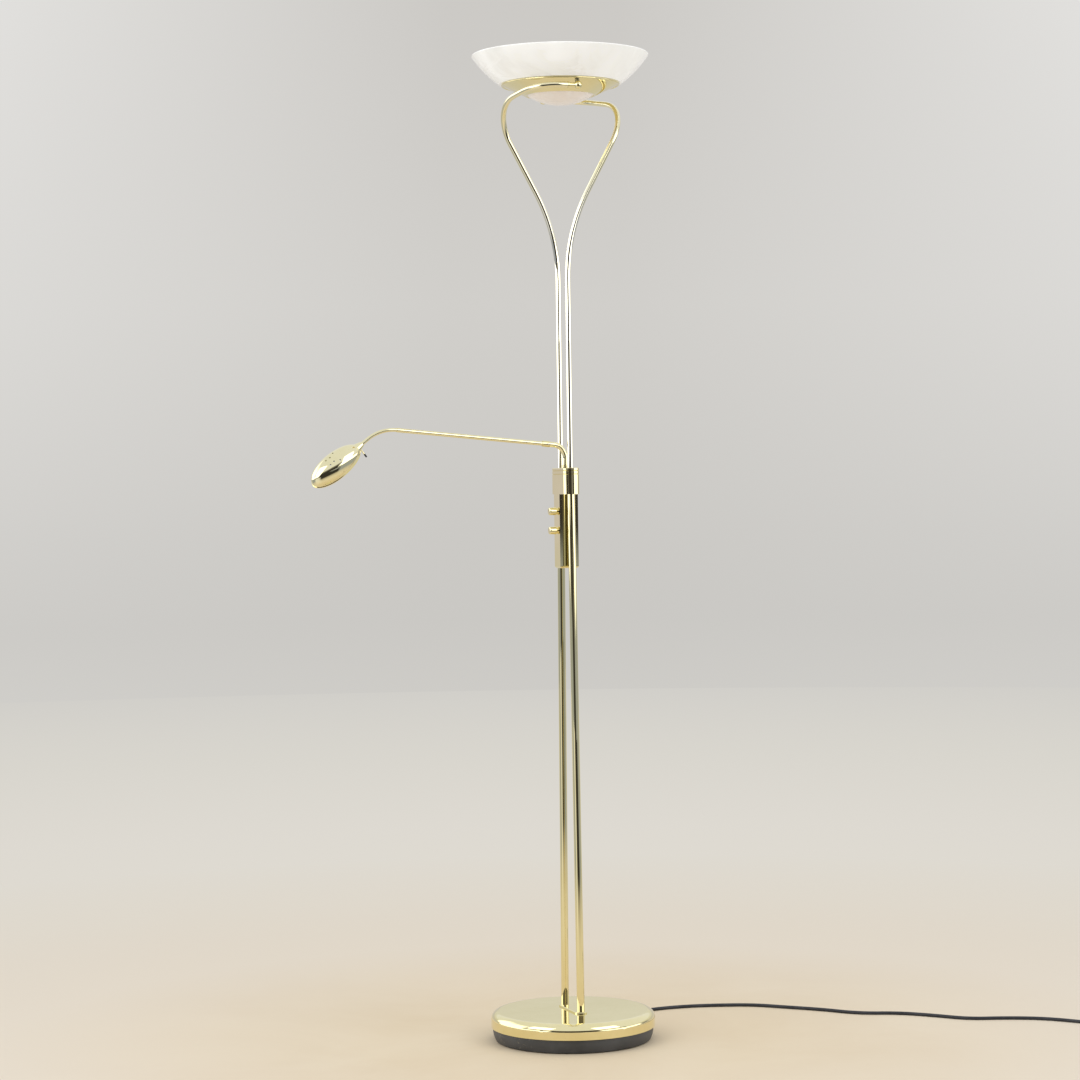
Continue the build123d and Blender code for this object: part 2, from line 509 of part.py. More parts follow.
glass_z = bead[1] + BEAD_R
bowl_h = HEIGHT - glass_z
rim_to_centre = (BOWL_RIM_R ** 2 - BOWL_FOOT_R ** 2 - bowl_h ** 2) / (2 * bowl_h)
bowl_centre = HEIGHT + rim_to_centre
bowl_ball = math.hypot(BOWL_RIM_R, rim_to_centre)
in_ball = bowl_ball - BOWL_T
foot_in, rim_in = cap(in_ball, bowl_centre - glass_z), cap(in_ball, rim_to_centre)
mid_out, mid_in = (BOWL_FOOT_R + BOWL_RIM_R) / 2, (foot_in + rim_in) / 2
with BuildPart() as bowl_glass:
    with BuildSketch(Plane.XZ):
        with BuildLine():
            ThreePointArc((BOWL_FOOT_R, glass_z), (mid_out, bowl_centre - cap(bowl_ball, mid_out)),
                          (BOWL_RIM_R, HEIGHT))
            Line((BOWL_RIM_R, HEIGHT), (rim_in, HEIGHT))
            ThreePointArc((rim_in, HEIGHT), (mid_in, bowl_centre - cap(in_ball, mid_in)),
                          (foot_in, glass_z))
            Line((foot_in, glass_z), (BOWL_FOOT_R, glass_z))
        make_face()
    revolve(axis=Axis.Z)
    fillet(bowl_glass.edges().group_by(Axis.Z)[-1], radius=BOWL_T * 0.35)
bowl_glass.part.label = "bowl_glass"
export_step(bowl_glass.part, "parts/bowl_glass.step")

dish_r = PAN_LIP_R - GAP
dish_ball = (dish_r ** 2 + DISH_DROP ** 2) / (2 * DISH_DROP)
dish_centre = lip_top - DISH_DROP + dish_ball
dish_in_ball = dish_ball - DISH_T
dish_in_r = cap(dish_in_ball, dish_centre - lip_top - DISH_T)
with BuildPart() as lower_dish:
    with BuildSketch(Plane.XZ):
        with BuildLine():
            ThreePointArc((0, dish_centre - dish_ball), (dish_r / 2, dish_centre
                          - cap(dish_ball, dish_r / 2)), (dish_r, lip_top))
            Polyline((dish_r, lip_top), (DISH_FLANGE_R, lip_top),
                     (DISH_FLANGE_R, lip_top + DISH_T), (dish_in_r, lip_top + DISH_T))
            ThreePointArc((dish_in_r, lip_top + DISH_T), (dish_in_r / 2, dish_centre
                          - cap(dish_in_ball, dish_in_r / 2)), (0, dish_centre - dish_in_ball))
            Line((0, dish_centre - dish_in_ball), (0, dish_centre - dish_ball))
        make_face()
    revolve(axis=Axis.Z)
lower_dish.part.label = "lower_dish"
export_step(lower_dish.part, "parts/lower_dish.step")

# Halogen light -----------------------------------------------------------------------------

TAB_FROM, TAB_TO = ROD_END_Y - 14, ROD_END_Y + 1


def strip_z(r):
    """Underside of the bracket's end tab at distance r from the middle."""
    return PAN_LOW_Z + (r - PAN_LOW_R) * math.tan(slope) + STRIP_FROM / math.cos(slope)


bridge_z = strip_z(TAB_FROM)
thick = STRIP_T / math.cos(slope)
with BuildPart() as lamp_bracket:
    with BuildSketch(Plane.YZ):
        with BuildLine():
            Polyline((-TAB_TO, strip_z(TAB_TO)), (-TAB_FROM, bridge_z), (TAB_FROM, bridge_z),
                     (TAB_TO, strip_z(TAB_TO)), (TAB_TO, strip_z(TAB_TO) + thick),
                     (TAB_FROM, bridge_z + thick), (-TAB_FROM, bridge_z + thick),
                     (-TAB_TO, strip_z(TAB_TO) + thick), (-TAB_TO, strip_z(TAB_TO)))
        make_face()
    extrude(amount=STRIP_W / 2, both=True)
    for side in SIDES.values():
        add(rod((side * -BALL_X, side * ROD_END_Y, ROD_END_Z), (0, -side * pan_up.Y, pan_up.Z),
            BALL_R, nipple_to, BOWL_NIPPLE_R + 2 * CLEAR), mode=Mode.SUBTRACT)
        add(rod((0, side * REFLECTOR_SCREW_Y, bridge_z), (0, 0, 1), -1, LAMP_LIFT, GRUB_R + THREAD),
            mode=Mode.SUBTRACT)
lamp_bracket.part.label = "lamp_bracket"
export_step(lamp_bracket.part, "parts/lamp_bracket.step")

bridge_top = bridge_z + thick
lamp_z, reflector_top = bridge_top + LAMP_LIFT, bridge_top + REFLECTOR_RISE
HOLDER_OVER, HOLDER_CHAMFER, PINCH_R, SOCKET_DEEP = 9, 2, 3.4, 3
holder_y = LAMP_SPAN / 2 - SOCKET_DEEP
tube_half = holder_y - 6
reflector_y = holder_y - REFLECTOR_END_GAP
for name, side in SIDES.items():
    with BuildPart() as lamp_holder:
        with BuildSketch(Plane.XY.offset(bridge_top)):
            with Locations((0, side * (holder_y + HOLDER_Y / 2))):
                Rectangle(HOLDER_X, HOLDER_Y)
        extrude(amount=LAMP_LIFT + HOLDER_OVER)
        chamfer(lamp_holder.edges().group_by(Axis.Z)[-1], length=HOLDER_CHAMFER)
        add(rod((0, 0, lamp_z), (0, side, 0), holder_y - 1, holder_y + SOCKET_DEEP + BUTT,
            PINCH_R + GAP), mode=Mode.SUBTRACT)
    lamp_holder.part.label = f"lamp_holder_{name}"
    export_step(lamp_holder.part, f"parts/lamp_holder_{name}.step")

with BuildPart() as halogen_lamp:
    add(rod((0, 0, lamp_z), (0, 1, 0), -tube_half, tube_half, LAMP_R))
    fillet(halogen_lamp.edges().filter_by(GeomType.CIRCLE), radius=LAMP_R / 3)
    add(rod((0, 0, lamp_z), (0, 1, 0), -LAMP_SPAN / 2, LAMP_SPAN / 2, PINCH_R))
halogen_lamp.part.label = "halogen_lamp"
export_step(halogen_lamp.part, "parts/halogen_lamp.step")

flange_x = REFLECTOR_X + REFLECTOR_FLANGE
bow_x, bow_z = REFLECTOR_X * REFLECTOR_BOW[0], bridge_top + REFLECTOR_RISE * REFLECTOR_BOW[1]
with BuildPart() as uplight_reflector:
    with BuildSketch(Plane.XZ):
        with BuildLine():
            ThreePointArc((REFLECTOR_FLAT, bridge_top), (bow_x, bow_z), (REFLECTOR_X, reflector_top))
            Polyline((REFLECTOR_X, reflector_top), (flange_x, reflector_top),
                     (flange_x, reflector_top + REFLECTOR_T),
                     (REFLECTOR_X - REFLECTOR_T, reflector_top + REFLECTOR_T))
            ThreePointArc((REFLECTOR_X - REFLECTOR_T, reflector_top + REFLECTOR_T),
                          (bow_x - REFLECTOR_T, bow_z + REFLECTOR_T),
                          (REFLECTOR_FLAT, bridge_top + REFLECTOR_T))
            Polyline((REFLECTOR_FLAT, bridge_top + REFLECTOR_T), (0, bridge_top + REFLECTOR_T),
                     (0, bridge_top), (REFLECTOR_FLAT, bridge_top))
        make_face()
        mirror(about=Plane.YZ)
    extrude(amount=reflector_y, both=True)
    for side in SIDES.values():
        add(rod((0, side * REFLECTOR_SCREW_Y, bridge_z), (0, 0, 1), 0, LAMP_LIFT, GRUB_R + THREAD),
            mode=Mode.SUBTRACT)
uplight_reflector.part.label = "uplight_reflector"
export_step(uplight_reflector.part, "parts/uplight_reflector.step")

SCREW_HEAD_R, SCREW_HEAD_T = 3.6, 2
with BuildPart() as reflector_screws:
    top = bridge_top + REFLECTOR_T
    for side in SIDES.values():
        place = (0, side * REFLECTOR_SCREW_Y, 0)
        add(rod(place, (0, 0, 1), bridge_z - 2, top, GRUB_R))
        add(rod(place, (0, 0, 1), top, top + SCREW_HEAD_T, SCREW_HEAD_R))
    with BuildSketch(Plane.XY.offset(top + SCREW_HEAD_T)):
        Rectangle(SCREW_HEAD_T / 2, 3 * REFLECTOR_SCREW_Y)
    extrude(amount=-SCREW_HEAD_T / 2, mode=Mode.SUBTRACT)
reflector_screws.part.label = "reflector_screws"
export_step(reflector_screws.part, "parts/reflector_screws.step")

with BuildPart() as guard_glass:
    with BuildSketch(Plane.XY.offset(reflector_top + REFLECTOR_T)):
        Rectangle(2 * (flange_x - GUARD_INSET), 2 * (reflector_y - GUARD_INSET))
    extrude(amount=GUARD_T)
guard_glass.part.label = "guard_glass"
export_step(guard_glass.part, "parts/guard_glass.step")

# Reading arm -------------------------------------------------------------------------------

elbow_at = Vector(0, 0, ELBOW_Z)
rise_angle = math.radians(ARM_RISE)
arm_way = Vector(-math.cos(rise_angle), 0, math.sin(rise_angle))
drop_angle = math.radians(HEAD_DROP)
head_way = Vector(-math.cos(drop_angle), 0, -math.sin(drop_angle))

with BuildPart() as arm_bushing:
    add(rod((0, 0, 0), (0, 0, 1), CHAMBER_TOP, COLLAR_TOP, BUSH_R))
    add(rod((0, 0, 0), (0, 0, 1), COLLAR_TOP, COLLAR_TOP + BUSH_FLANGE_T, BUSH_FLANGE_R))
    add(rod((0, 0, 0), (0, 0, 1), CHAMBER_TOP - 1, COLLAR_TOP + BUSH_FLANGE_T + 1,
            ELBOW_R + CLEAR), mode=Mode.SUBTRACT)
arm_bushing.part.label = "arm_bushing"
export_step(arm_bushing.part, "parts/arm_bushing.step")

ARM_STOP_R, ARM_STOP_H, ARM_RING_R = 6.4, 3, 7
bush_top = COLLAR_TOP + BUSH_FLANGE_T
for name, low, high, radius in (("arm_stop", bush_top + GAP, bush_top + GAP + ARM_STOP_H, ARM_STOP_R),
                                ("arm_ring", ELBOW_BOTTOM + 1, CHAMBER_TOP - GAP, ARM_RING_R)):
    with BuildPart() as ring:
        add(rod((0, 0, 0), (0, 0, 1), low, high, radius))
        add(rod((0, 0, 0), (0, 0, 1), low - 1, high + 1, ELBOW_R + THREAD), mode=Mode.SUBTRACT)
    ring.part.label = name
    export_step(ring.part, f"parts/{name}.step")

arm_elbow = pipe([(0, 0, ELBOW_BOTTOM), elbow_at, elbow_at + arm_way * (ELBOW_END - BUTT)],
                 [ELBOW_BEND], ELBOW_R, ELBOW_R - ELBOW_WALL)
arm_elbow.part.label = "arm_elbow"
export_step(arm_elbow.part, "parts/arm_elbow.step")

SLEEVE_SCREW_R, SLEEVE_SCREW_HEAD, SLEEVE_CHAMFER = 1.5, 0.8, 0.4
screw_place = elbow_at + arm_way * (SLEEVE_FROM + 5)
with BuildPart() as arm_sleeve:
    add(rod(elbow_at, arm_way, SLEEVE_FROM, SLEEVE_TO, SLEEVE_R))
    chamfer(arm_sleeve.edges().filter_by(GeomType.CIRCLE), length=SLEEVE_CHAMFER)
    add(rod(elbow_at, arm_way, SLEEVE_FROM - 1, ELBOW_END, ELBOW_R + THREAD), mode=Mode.SUBTRACT)
    add(rod(elbow_at, arm_way, ELBOW_END - 1, SLEEVE_TO + 1, ARM_R + THREAD), mode=Mode.SUBTRACT)
    add(rod(screw_place, (0, -1, 0), 0, SLEEVE_R + 1, SLEEVE_SCREW_R + THREAD), mode=Mode.SUBTRACT)
arm_sleeve.part.label = "arm_sleeve"
export_step(arm_sleeve.part, "parts/arm_sleeve.step")

GROOVE_AT, NECK_GROOVE_R, NECK_SCREW_R, NECK_SCREW_OUT = ARM_END - 12, NECK_R - 0.35, 1, 0.3
NECK_SLACK = 0.1
groove_place = elbow_at + arm_way * GROOVE_AT
below = Vector(-math.sin(rise_angle), 0, -math.cos(rise_angle))
with BuildPart() as arm_tube:
    add(rod(elbow_at, arm_way, ELBOW_END + BUTT, ARM_END, ARM_R))
    add(rod(elbow_at, arm_way, ELBOW_END, ARM_END + 1, ARM_R - ARM_WALL), mode=Mode.SUBTRACT)
    add(rod(groove_place, below, 0, ARM_R + 1, NECK_SCREW_R + THREAD), mode=Mode.SUBTRACT)
arm_tube.part.label = "arm_tube"
export_step(arm_tube.part, "parts/arm_tube.step")

with BuildPart() as arm_screws:
    add(rod(screw_place, (0, -1, 0), ELBOW_R + CLEAR, SLEEVE_R + SLEEVE_SCREW_HEAD,
            SLEEVE_SCREW_R))
    add(rod(groove_place, below, NECK_GROOVE_R + NECK_SLACK, ARM_R + NECK_SCREW_OUT,
            NECK_SCREW_R))
arm_screws.part.label = "arm_screws"
export_step(arm_screws.part, "parts/arm_screws.step")

bend_angle = rise_angle + drop_angle
neck_corner = elbow_at + arm_way * (ARM_END + NECK_BEND * math.tan(bend_angle / 2))
neck_end = neck_corner + head_way * (NECK_BEND * math.tan(bend_angle / 2) + NECK_STRAIGHT)
neck_start = elbow_at + arm_way * (ARM_END - NECK_OVERLAP)
neck_tip = neck_end + head_way * NECK_INTO_HEAD
neck_raw = pipe([neck_start, neck_corner, neck_tip], [NECK_BEND], NECK_R, NECK_R - NECK_WALL)
with BuildPart() as neck_tube:
    add(neck_raw.part)
    with BuildSketch(Plane(origin=groove_place - arm_way * (NECK_SCREW_R + NECK_SLACK),
                           z_dir=arm_way)):
        Circle(NECK_R + 1)
        Circle(NECK_GROOVE_R, mode=Mode.SUBTRACT)
    extrude(amount=2 * (NECK_SCREW_R + NECK_SLACK), mode=Mode.SUBTRACT)
neck_tube.part.label = "neck_tube"
export_step(neck_tube.part, "parts/neck_tube.step")

# Reading head ------------------------------------------------------------------------------

roll = math.radians(SHELL_ROLL)
upright = Vector(-math.sin(drop_angle), 0, math.cos(drop_angle))
crown = upright * math.cos(roll) + Vector(0, -1, 0) * math.sin(roll)
across = head_way.cross(crown)
lid = Plane(origin=neck_end, x_dir=head_way, z_dir=crown)
half = Plane(origin=neck_end, x_dir=head_way, z_dir=across)
head_axis = Axis(neck_end, head_way)


def egg(shrink=0):
    """Half outline of the shell on one side of its long axis, drawn inwards by a wall."""
    wide, back, front = SHELL_R - shrink, SHELL_BACK - shrink, SHELL_FRONT - shrink
    with BuildSketch(mode=Mode.PRIVATE) as outline:
        with BuildLine():
            EllipticalCenterArc((SHELL_BACK, 0), back, wide, start_angle=90, arc_size=90)
            EllipticalCenterArc((SHELL_BACK, 0), front, wide, start_angle=0, arc_size=90)
            Line((SHELL_BACK + front, 0), (SHELL_BACK - back, 0))
        make_face()
    return outline.sketch


with BuildPart() as dome_inside:
    with BuildSketch(half):
        add(egg(SHELL_T))
    revolve(axis=head_axis, revolution_arc=360)

HUB_R, HANDLE_S, HANDLE_R, HANDLE_IN, HANDLE_OUT = 6.5, -1, 1.2, 5, 16.5
SOCKET_FROM, SOCKET_TO, SOCKET_LOW, SOCKET_HIGH, SOCKET_W = 18, 36, 1, 13, 14
STUD_S, STUD_R = 28, 2.5
VENTS = ((46, 26), (56, 14), (65, 16))


def dome_r(s, shrink=0):
    """Radius of the shell's outline at distance s along its axis, drawn inwards by a wall."""
    long_half = (SHELL_BACK if s < SHELL_BACK else SHELL_FRONT) - shrink
    return (SHELL_R - shrink) * math.sqrt(1 - ((s - SHELL_BACK) / long_half) ** 2)


with BuildPart() as head_shell:
    with BuildSketch(half):
        add(egg())
    revolve(axis=head_axis, revolution_arc=360)
    split(bisect_by=lid, keep=Keep.TOP)
    with BuildSketch(lid):
        add(egg())
        mirror(about=Plane.XZ)
    extrude(amount=-SHELL_SKIRT)
    with BuildSketch(lid.offset(-SHELL_SKIRT)):
        add(egg(-SHELL_BEAD))
        mirror(about=Plane.XZ)
    extrude(amount=2 * SHELL_BEAD)
    with BuildSketch(half):
        with BuildLine():
            Polyline((CONE_FROM, 0), (CONE_TO, 0), (CONE_TO, CONE_BIG_R),
                     (CONE_FROM, CONE_SMALL_R), (CONE_FROM, 0))
        make_face()
    revolve(axis=head_axis, revolution_arc=360)
    add(dome_inside.part, mode=Mode.SUBTRACT)
    with BuildSketch(lid):
        add(egg(SHELL_T))
        mirror(about=Plane.XZ)
    extrude(amount=-SHELL_SKIRT - CONE_BIG_R, mode=Mode.SUBTRACT)
    add(rod(neck_end, head_way, 0, CONE_TO, HUB_R))
    add(rod(neck_end + head_way * STUD_S, crown, SOCKET_HIGH, dome_r(STUD_S, SHELL_T / 2), STUD_R))
    add(rod(neck_end, head_way, CONE_FROM - 1, CONE_TO + 1, NECK_R + CLEAR), mode=Mode.SUBTRACT)
    add(rod(neck_end + head_way * HANDLE_S, -upright, HANDLE_IN, HANDLE_OUT, HANDLE_R + THREAD),
        mode=Mode.SUBTRACT)
    for s, angle in VENTS:
        for lean_way in (-1, 1):
            turn = math.radians(angle) * lean_way
            way = crown * math.cos(turn) + across * math.sin(turn)
            add(rod(neck_end + head_way * s, way, SHELL_R / 2, SHELL_R + 2, VENT_R),
                mode=Mode.SUBTRACT)
head_shell.part.label = "head_shell"
export_step(head_shell.part, "parts/head_shell.step")

with BuildPart() as neck_nut:
    add(rod(neck_end, head_way, CONE_TO + GAP, NECK_INTO_HEAD - 0.5, HUB_R - 1))
    add(rod(neck_end, head_way, CONE_TO, NECK_INTO_HEAD, NECK_R + THREAD), mode=Mode.SUBTRACT)
neck_nut.part.label = "neck_nut"
export_step(neck_nut.part, "parts/neck_nut.step")

with BuildPart() as head_handle:
    add(rod(neck_end + head_way * HANDLE_S, -upright, HANDLE_IN, HANDLE_OUT, HANDLE_R))
head_handle.part.label = "head_handle"
export_step(head_handle.part, "parts/head_handle.step")

TIP_R, TIP_LENGTH = 1.6, 7
with BuildPart() as handle_tip:
    add(rod(neck_end + head_way * HANDLE_S, -upright, HANDLE_OUT, HANDLE_OUT + TIP_LENGTH, TIP_R))
    fillet(handle_tip.edges().filter_by(GeomType.CIRCLE), radius=TIP_R / 3)
handle_tip.part.label = "handle_tip"
export_step(handle_tip.part, "parts/handle_tip.step")

REFLECT_GAP, REFLECT_T, REFLECT_FROM = 0.8, 0.6, 42
with BuildPart() as head_reflector:
    with BuildSketch(half):
        add(egg(SHELL_T + REFLECT_GAP))
        add(egg(SHELL_T + REFLECT_GAP + REFLECT_T), mode=Mode.SUBTRACT)
        with Locations((REFLECT_FROM / 2 - CONE_TO, 0)):
            Rectangle(REFLECT_FROM + 2 * CONE_TO, 4 * SHELL_R, mode=Mode.SUBTRACT)
    revolve(axis=head_axis, revolution_arc=360)
    split(bisect_by=lid, keep=Keep.TOP)
    for s in (REFLECT_FROM + 8, SHELL_BACK + SHELL_FRONT - 24):
        add(rod(neck_end + head_way * s, crown, dome_r(s, SHELL_T + REFLECT_GAP + REFLECT_T / 2),
                dome_r(s, SHELL_T) - 0.6, STUD_R / 2))
head_reflector.part.label = "head_reflector"
export_step(head_reflector.part, "parts/head_reflector.step")

PINCH_X, PINCH_T, PINCH_FROM, BULB_FROM, BULB_TO, BULB_R = 10, 4, 31, 38, 64, 6
bulb_axis = neck_end + crown * (SOCKET_LOW + SOCKET_HIGH) / 2
with BuildPart() as head_socket:
    with BuildSketch(Plane(origin=neck_end + head_way * SOCKET_FROM, x_dir=across, z_dir=head_way)):
        with Locations((0, -(SOCKET_HIGH - SOCKET_LOW - 1) / 2)):
            Rectangle(SOCKET_W, SOCKET_HIGH + SOCKET_LOW + 1)
    extrude(amount=(SOCKET_TO - SOCKET_FROM) / 2)
    with BuildSketch(Plane(origin=bulb_axis + head_way * SOCKET_FROM, x_dir=across,
                           z_dir=head_way)):
        Rectangle(SOCKET_W, SOCKET_HIGH - SOCKET_LOW)
    extrude(amount=SOCKET_TO - SOCKET_FROM)
    with BuildSketch(Plane(origin=bulb_axis + head_way * PINCH_FROM, x_dir=across,
                           z_dir=head_way)):
        Rectangle(PINCH_X + 2 * GAP, PINCH_T + 2 * GAP)
    extrude(amount=SOCKET_TO, mode=Mode.SUBTRACT)
head_socket.part.label = "head_socket"
export_step(head_socket.part, "parts/head_socket.step")

with BuildPart() as head_bulb:
    with BuildSketch(Plane(origin=bulb_axis + head_way * PINCH_FROM, x_dir=across,
                           z_dir=head_way)):
        Rectangle(PINCH_X, PINCH_T)
    extrude(amount=BULB_FROM - PINCH_FROM + 1)
    add(rod(bulb_axis, head_way, BULB_FROM, BULB_TO - BULB_R, BULB_R))
    with Locations(bulb_axis + head_way * (BULB_TO - BULB_R)):
        Sphere(BULB_R)
head_bulb.part.label = "head_bulb"
export_step(head_bulb.part, "parts/head_bulb.step")

# Inner leads -------------------------------------------------------------------------------

LEAD_FLOOR, LEAD_BEND, LEAD_CROSS, LEAD_Y = 6, 9, tube_top + 3.5, 5
ARM_LEAD_END = ARM_END - 30
nipple_top = ball_place + pan_up * (nipple_to + 3)
lead_routes = {
    "lead_mains": (INNER_LEAD_R, [(exit_way * RELIEF_END + Vector(*exit_axis)), (75, 75, EXIT_Z),
                                  (0, -tube_y(LEAD_FLOOR), LEAD_FLOOR),
                                  (0, -tube_y(LEAD_CROSS), LEAD_CROSS), (0, -LEAD_Y, LEAD_CROSS),
                                  (0, -LEAD_Y, TERMINAL_TOP)],
                   [4 * LEAD_BEND, LEAD_BEND, 7, 6]),
    "lead_uplight": (THIN_LEAD_R, [(0, LEAD_Y, TERMINAL_TOP), (0, LEAD_Y, LEAD_CROSS),
                                   (0, ROD_Y, LEAD_CROSS), *ROD_CORNERS, ball_place, nipple_top,
                                   (BALL_X, -holder_y - HOLDER_Y, nipple_top.Z)],
                     [6, 7, *ROD_BENDS, 4, 4]),
    "lead_arm": (THIN_LEAD_R, [(0, 0, TERMINAL_TOP), elbow_at, elbow_at + arm_way * ARM_LEAD_END],
                 [ELBOW_BEND]),
    "lead_neck": (THIN_LEAD_R, [elbow_at + arm_way * (ARM_LEAD_END + 2), neck_corner,
                                neck_end + head_way * SOCKET_FROM], [NECK_BEND]),
}
for name, (radius, points, bends) in lead_routes.items():
    lead = pipe(points, bends, radius)
    lead.part.label = name
    export_step(lead.part, f"parts/{name}.step")

# Mains lead outside ------------------------------------------------------------------------

with BuildPart() as strain_relief:
    add(rod(exit_axis, exit_way, WEIGHT_WELL_R - 2, SPOTFACE, GLAND_R - THREAD))
    add(rod(exit_axis, exit_way, SPOTFACE, SPOTFACE + RELIEF_FLANGE_T, RELIEF_FLANGE_R))
    with BuildSketch(Plane(origin=exit_way * (SPOTFACE + RELIEF_FLANGE_T) + Vector(*exit_axis),
                           z_dir=exit_way)):
        Circle(RELIEF_BACK_R)
    with BuildSketch(Plane(origin=exit_way * RELIEF_END + Vector(*exit_axis), z_dir=exit_way)):
        Circle(CORD_R + 1)
    loft()
    add(rod(exit_axis, exit_way, WEIGHT_WELL_R - 3, RELIEF_END + 1, INNER_LEAD_R + CLEAR),
        mode=Mode.SUBTRACT)
strain_relief.part.label = "strain_relief"
export_step(strain_relief.part, "parts/strain_relief.step")

FLOOR_RUN = [(183, 173), (243, 197), (312, 197), (374, 181), (436, 156), (484, 106), (535, 56),
             (580, -8), (650, -36), (699, -86), (741, -143), (808, -164), (871, -199),
             (915, -254), (945, -305)]
cord_route = [exit_way * out + Vector(*exit_axis) for out in (RELIEF_END, RELIEF_END + LIFT_OFF)]
cord_route += [Vector(x, y, CORD_R) for x, y in FLOOR_RUN]


def bends_of(points):
    """Largest bend radius that each corner's shorter run allows."""
    radii = []
    for a, b, c in zip(points, points[1:], points[2:]):
        before, after = b - a, c - b
        half_turn = math.radians(before.get_angle(after)) / 2
        radii.append(0.45 * min(before.length, after.length) / math.tan(half_turn))
    return radii


cord_bends = bends_of(cord_route)
cord_floor = pipe(cord_route, cord_bends, CORD_R)
cord_floor.part.label = "cord_floor"
export_step(cord_floor.part, "parts/cord_floor.step")
cord_volume = math.pi * CORD_R ** 2
print("cord bend radii", [round(r) for r in cord_bends])
print("cord length by volume", round(cord_floor.part.volume / cord_volume, 1),
      "valid", cord_floor.part.is_valid)

# The coil spirals in on the floor, climbs on its innermost half turn and spirals out on top.
PLUG_T = 13.7
COIL_IN, COIL_OUT, COIL_LAST_R = 4, 3, 60
pitch = 2 * CORD_R + COIL_GAP
coil_start = cord_route[-1]
coil_way = (coil_start - cord_route[-2]).normalized()
coil_side = Vector(-coil_way.Y, coil_way.X, 0)
coil_first_r = COIL_MID_R + pitch
coil_centre = coil_start + coil_way * 2 * CORD_R + coil_side * coil_first_r
stations = [(coil_first_r - k * pitch / 2, CORD_R) for k in range(COIL_IN + 1)]
stations += [(coil_first_r - (COIL_IN - k) * pitch / 2, CORD_R + pitch)
             for k in range(COIL_OUT + 1)]
stations.append((COIL_LAST_R, PLUG_T / 2))
coil_points = [coil_centre + coil_side * r * (-1 if k % 2 == 0 else 1)
               + Vector(0, 0, z - CORD_R) for k, (r, z) in enumerate(stations)]
coil_end_way = coil_way * (1 if len(stations) % 2 else -1)
plug_back = coil_points[-1] + coil_end_way * 2 * CORD_R
with BuildPart() as cord_coil:
    with BuildLine() as turns:
        Line(coil_start, coil_points[0])
        for k, (a, b) in enumerate(zip(coil_points, coil_points[1:])):
            way = coil_way * (1 if k % 2 == 0 else -1)
            middle = (a + b) / 2 + way * (b - a).length / 2
            TangentArc(a, middle, tangent=way)
            TangentArc(middle, b, tangent=b - a)
        Line(coil_points[-1], plug_back)
    with BuildSketch(Plane(origin=coil_start, z_dir=coil_way)):
        Circle(CORD_R)
    sweep()
cord_coil.part.label = "cord_coil"
export_step(cord_coil.part, "parts/cord_coil.step")

coil_wire = turns.wires()[0]
coil_length = coil_wire.length
count = int(coil_length / 2)
samples = [coil_wire @ (k / count) for k in range(count + 1)]
near_by = int(4 * CORD_R * math.pi / 2)
least = min((samples[i] - samples[j]).length for i in range(0, count + 1)
            for j in range(i + near_by, count + 1))
print("coil length", round(coil_length, 1), "by volume", round(cord_coil.part.volume / cord_volume, 1),
      "least gap to itself", round(least - 2 * CORD_R, 3))

SLEEVE_LENGTH, SLEEVE_BACK_R, SLEEVE_FRONT_R = 14, 4.4, 6
PLUG_BACK_W, PLUG_W, PLUG_TAPER, PLUG_LENGTH_ALL = 17, 26.3, 20, 35
PIN_R, PIN_OUT, PIN_IN, PIN_APART, PLUG_ROUND = 2, 19, 8, 18.6, 3
plug_side = Vector(-coil_end_way.Y, coil_end_way.X, 0)
body_at = plug_back + coil_end_way * (SLEEVE_LENGTH - 1)
with BuildPart() as plug_body:
    with BuildSketch(Plane(origin=body_at - Vector(0, 0, PLUG_T / 2), x_dir=coil_end_way,
                           z_dir=(0, 0, 1))):
        with BuildLine():
            Polyline((0, -PLUG_BACK_W / 2), (PLUG_TAPER, -PLUG_W / 2),
                     (PLUG_LENGTH_ALL, -PLUG_W / 2), (PLUG_LENGTH_ALL, PLUG_W / 2),
                     (PLUG_TAPER, PLUG_W / 2), (0, PLUG_BACK_W / 2), (0, -PLUG_BACK_W / 2))
        make_face()
    extrude(amount=PLUG_T)
    fillet(plug_body.edges().group_by(Axis.Z)[-1] + plug_body.edges().group_by(Axis.Z)[0],
           radius=PLUG_ROUND)
    with BuildSketch(Plane(origin=plug_back, z_dir=coil_end_way)):
        Circle(SLEEVE_BACK_R)
    with BuildSketch(Plane(origin=plug_back + coil_end_way * SLEEVE_LENGTH, z_dir=coil_end_way)):
        Circle(SLEEVE_FRONT_R)
    loft()
    for side in SIDES.values():
        add(rod(body_at + plug_side * side * PIN_APART / 2, coil_end_way,
                PLUG_LENGTH_ALL - PIN_IN, PLUG_LENGTH_ALL + 1, PIN_R + THREAD), mode=Mode.SUBTRACT)
plug_body.part.label = "plug_body"
export_step(plug_body.part, "parts/plug_body.step")

with BuildPart() as plug_pins:
    for side in SIDES.values():
        add(rod(body_at + plug_side * side * PIN_APART / 2, coil_end_way,
                PLUG_LENGTH_ALL - PIN_IN, PLUG_LENGTH_ALL + PIN_OUT, PIN_R))
    fillet(plug_pins.edges().group_by(Axis(body_at, coil_end_way))[-1], radius=PIN_R * 0.8)
plug_pins.part.label = "plug_pins"
export_step(plug_pins.part, "parts/plug_pins.step")
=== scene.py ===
import math

import bpy
from mathutils import Matrix, Vector


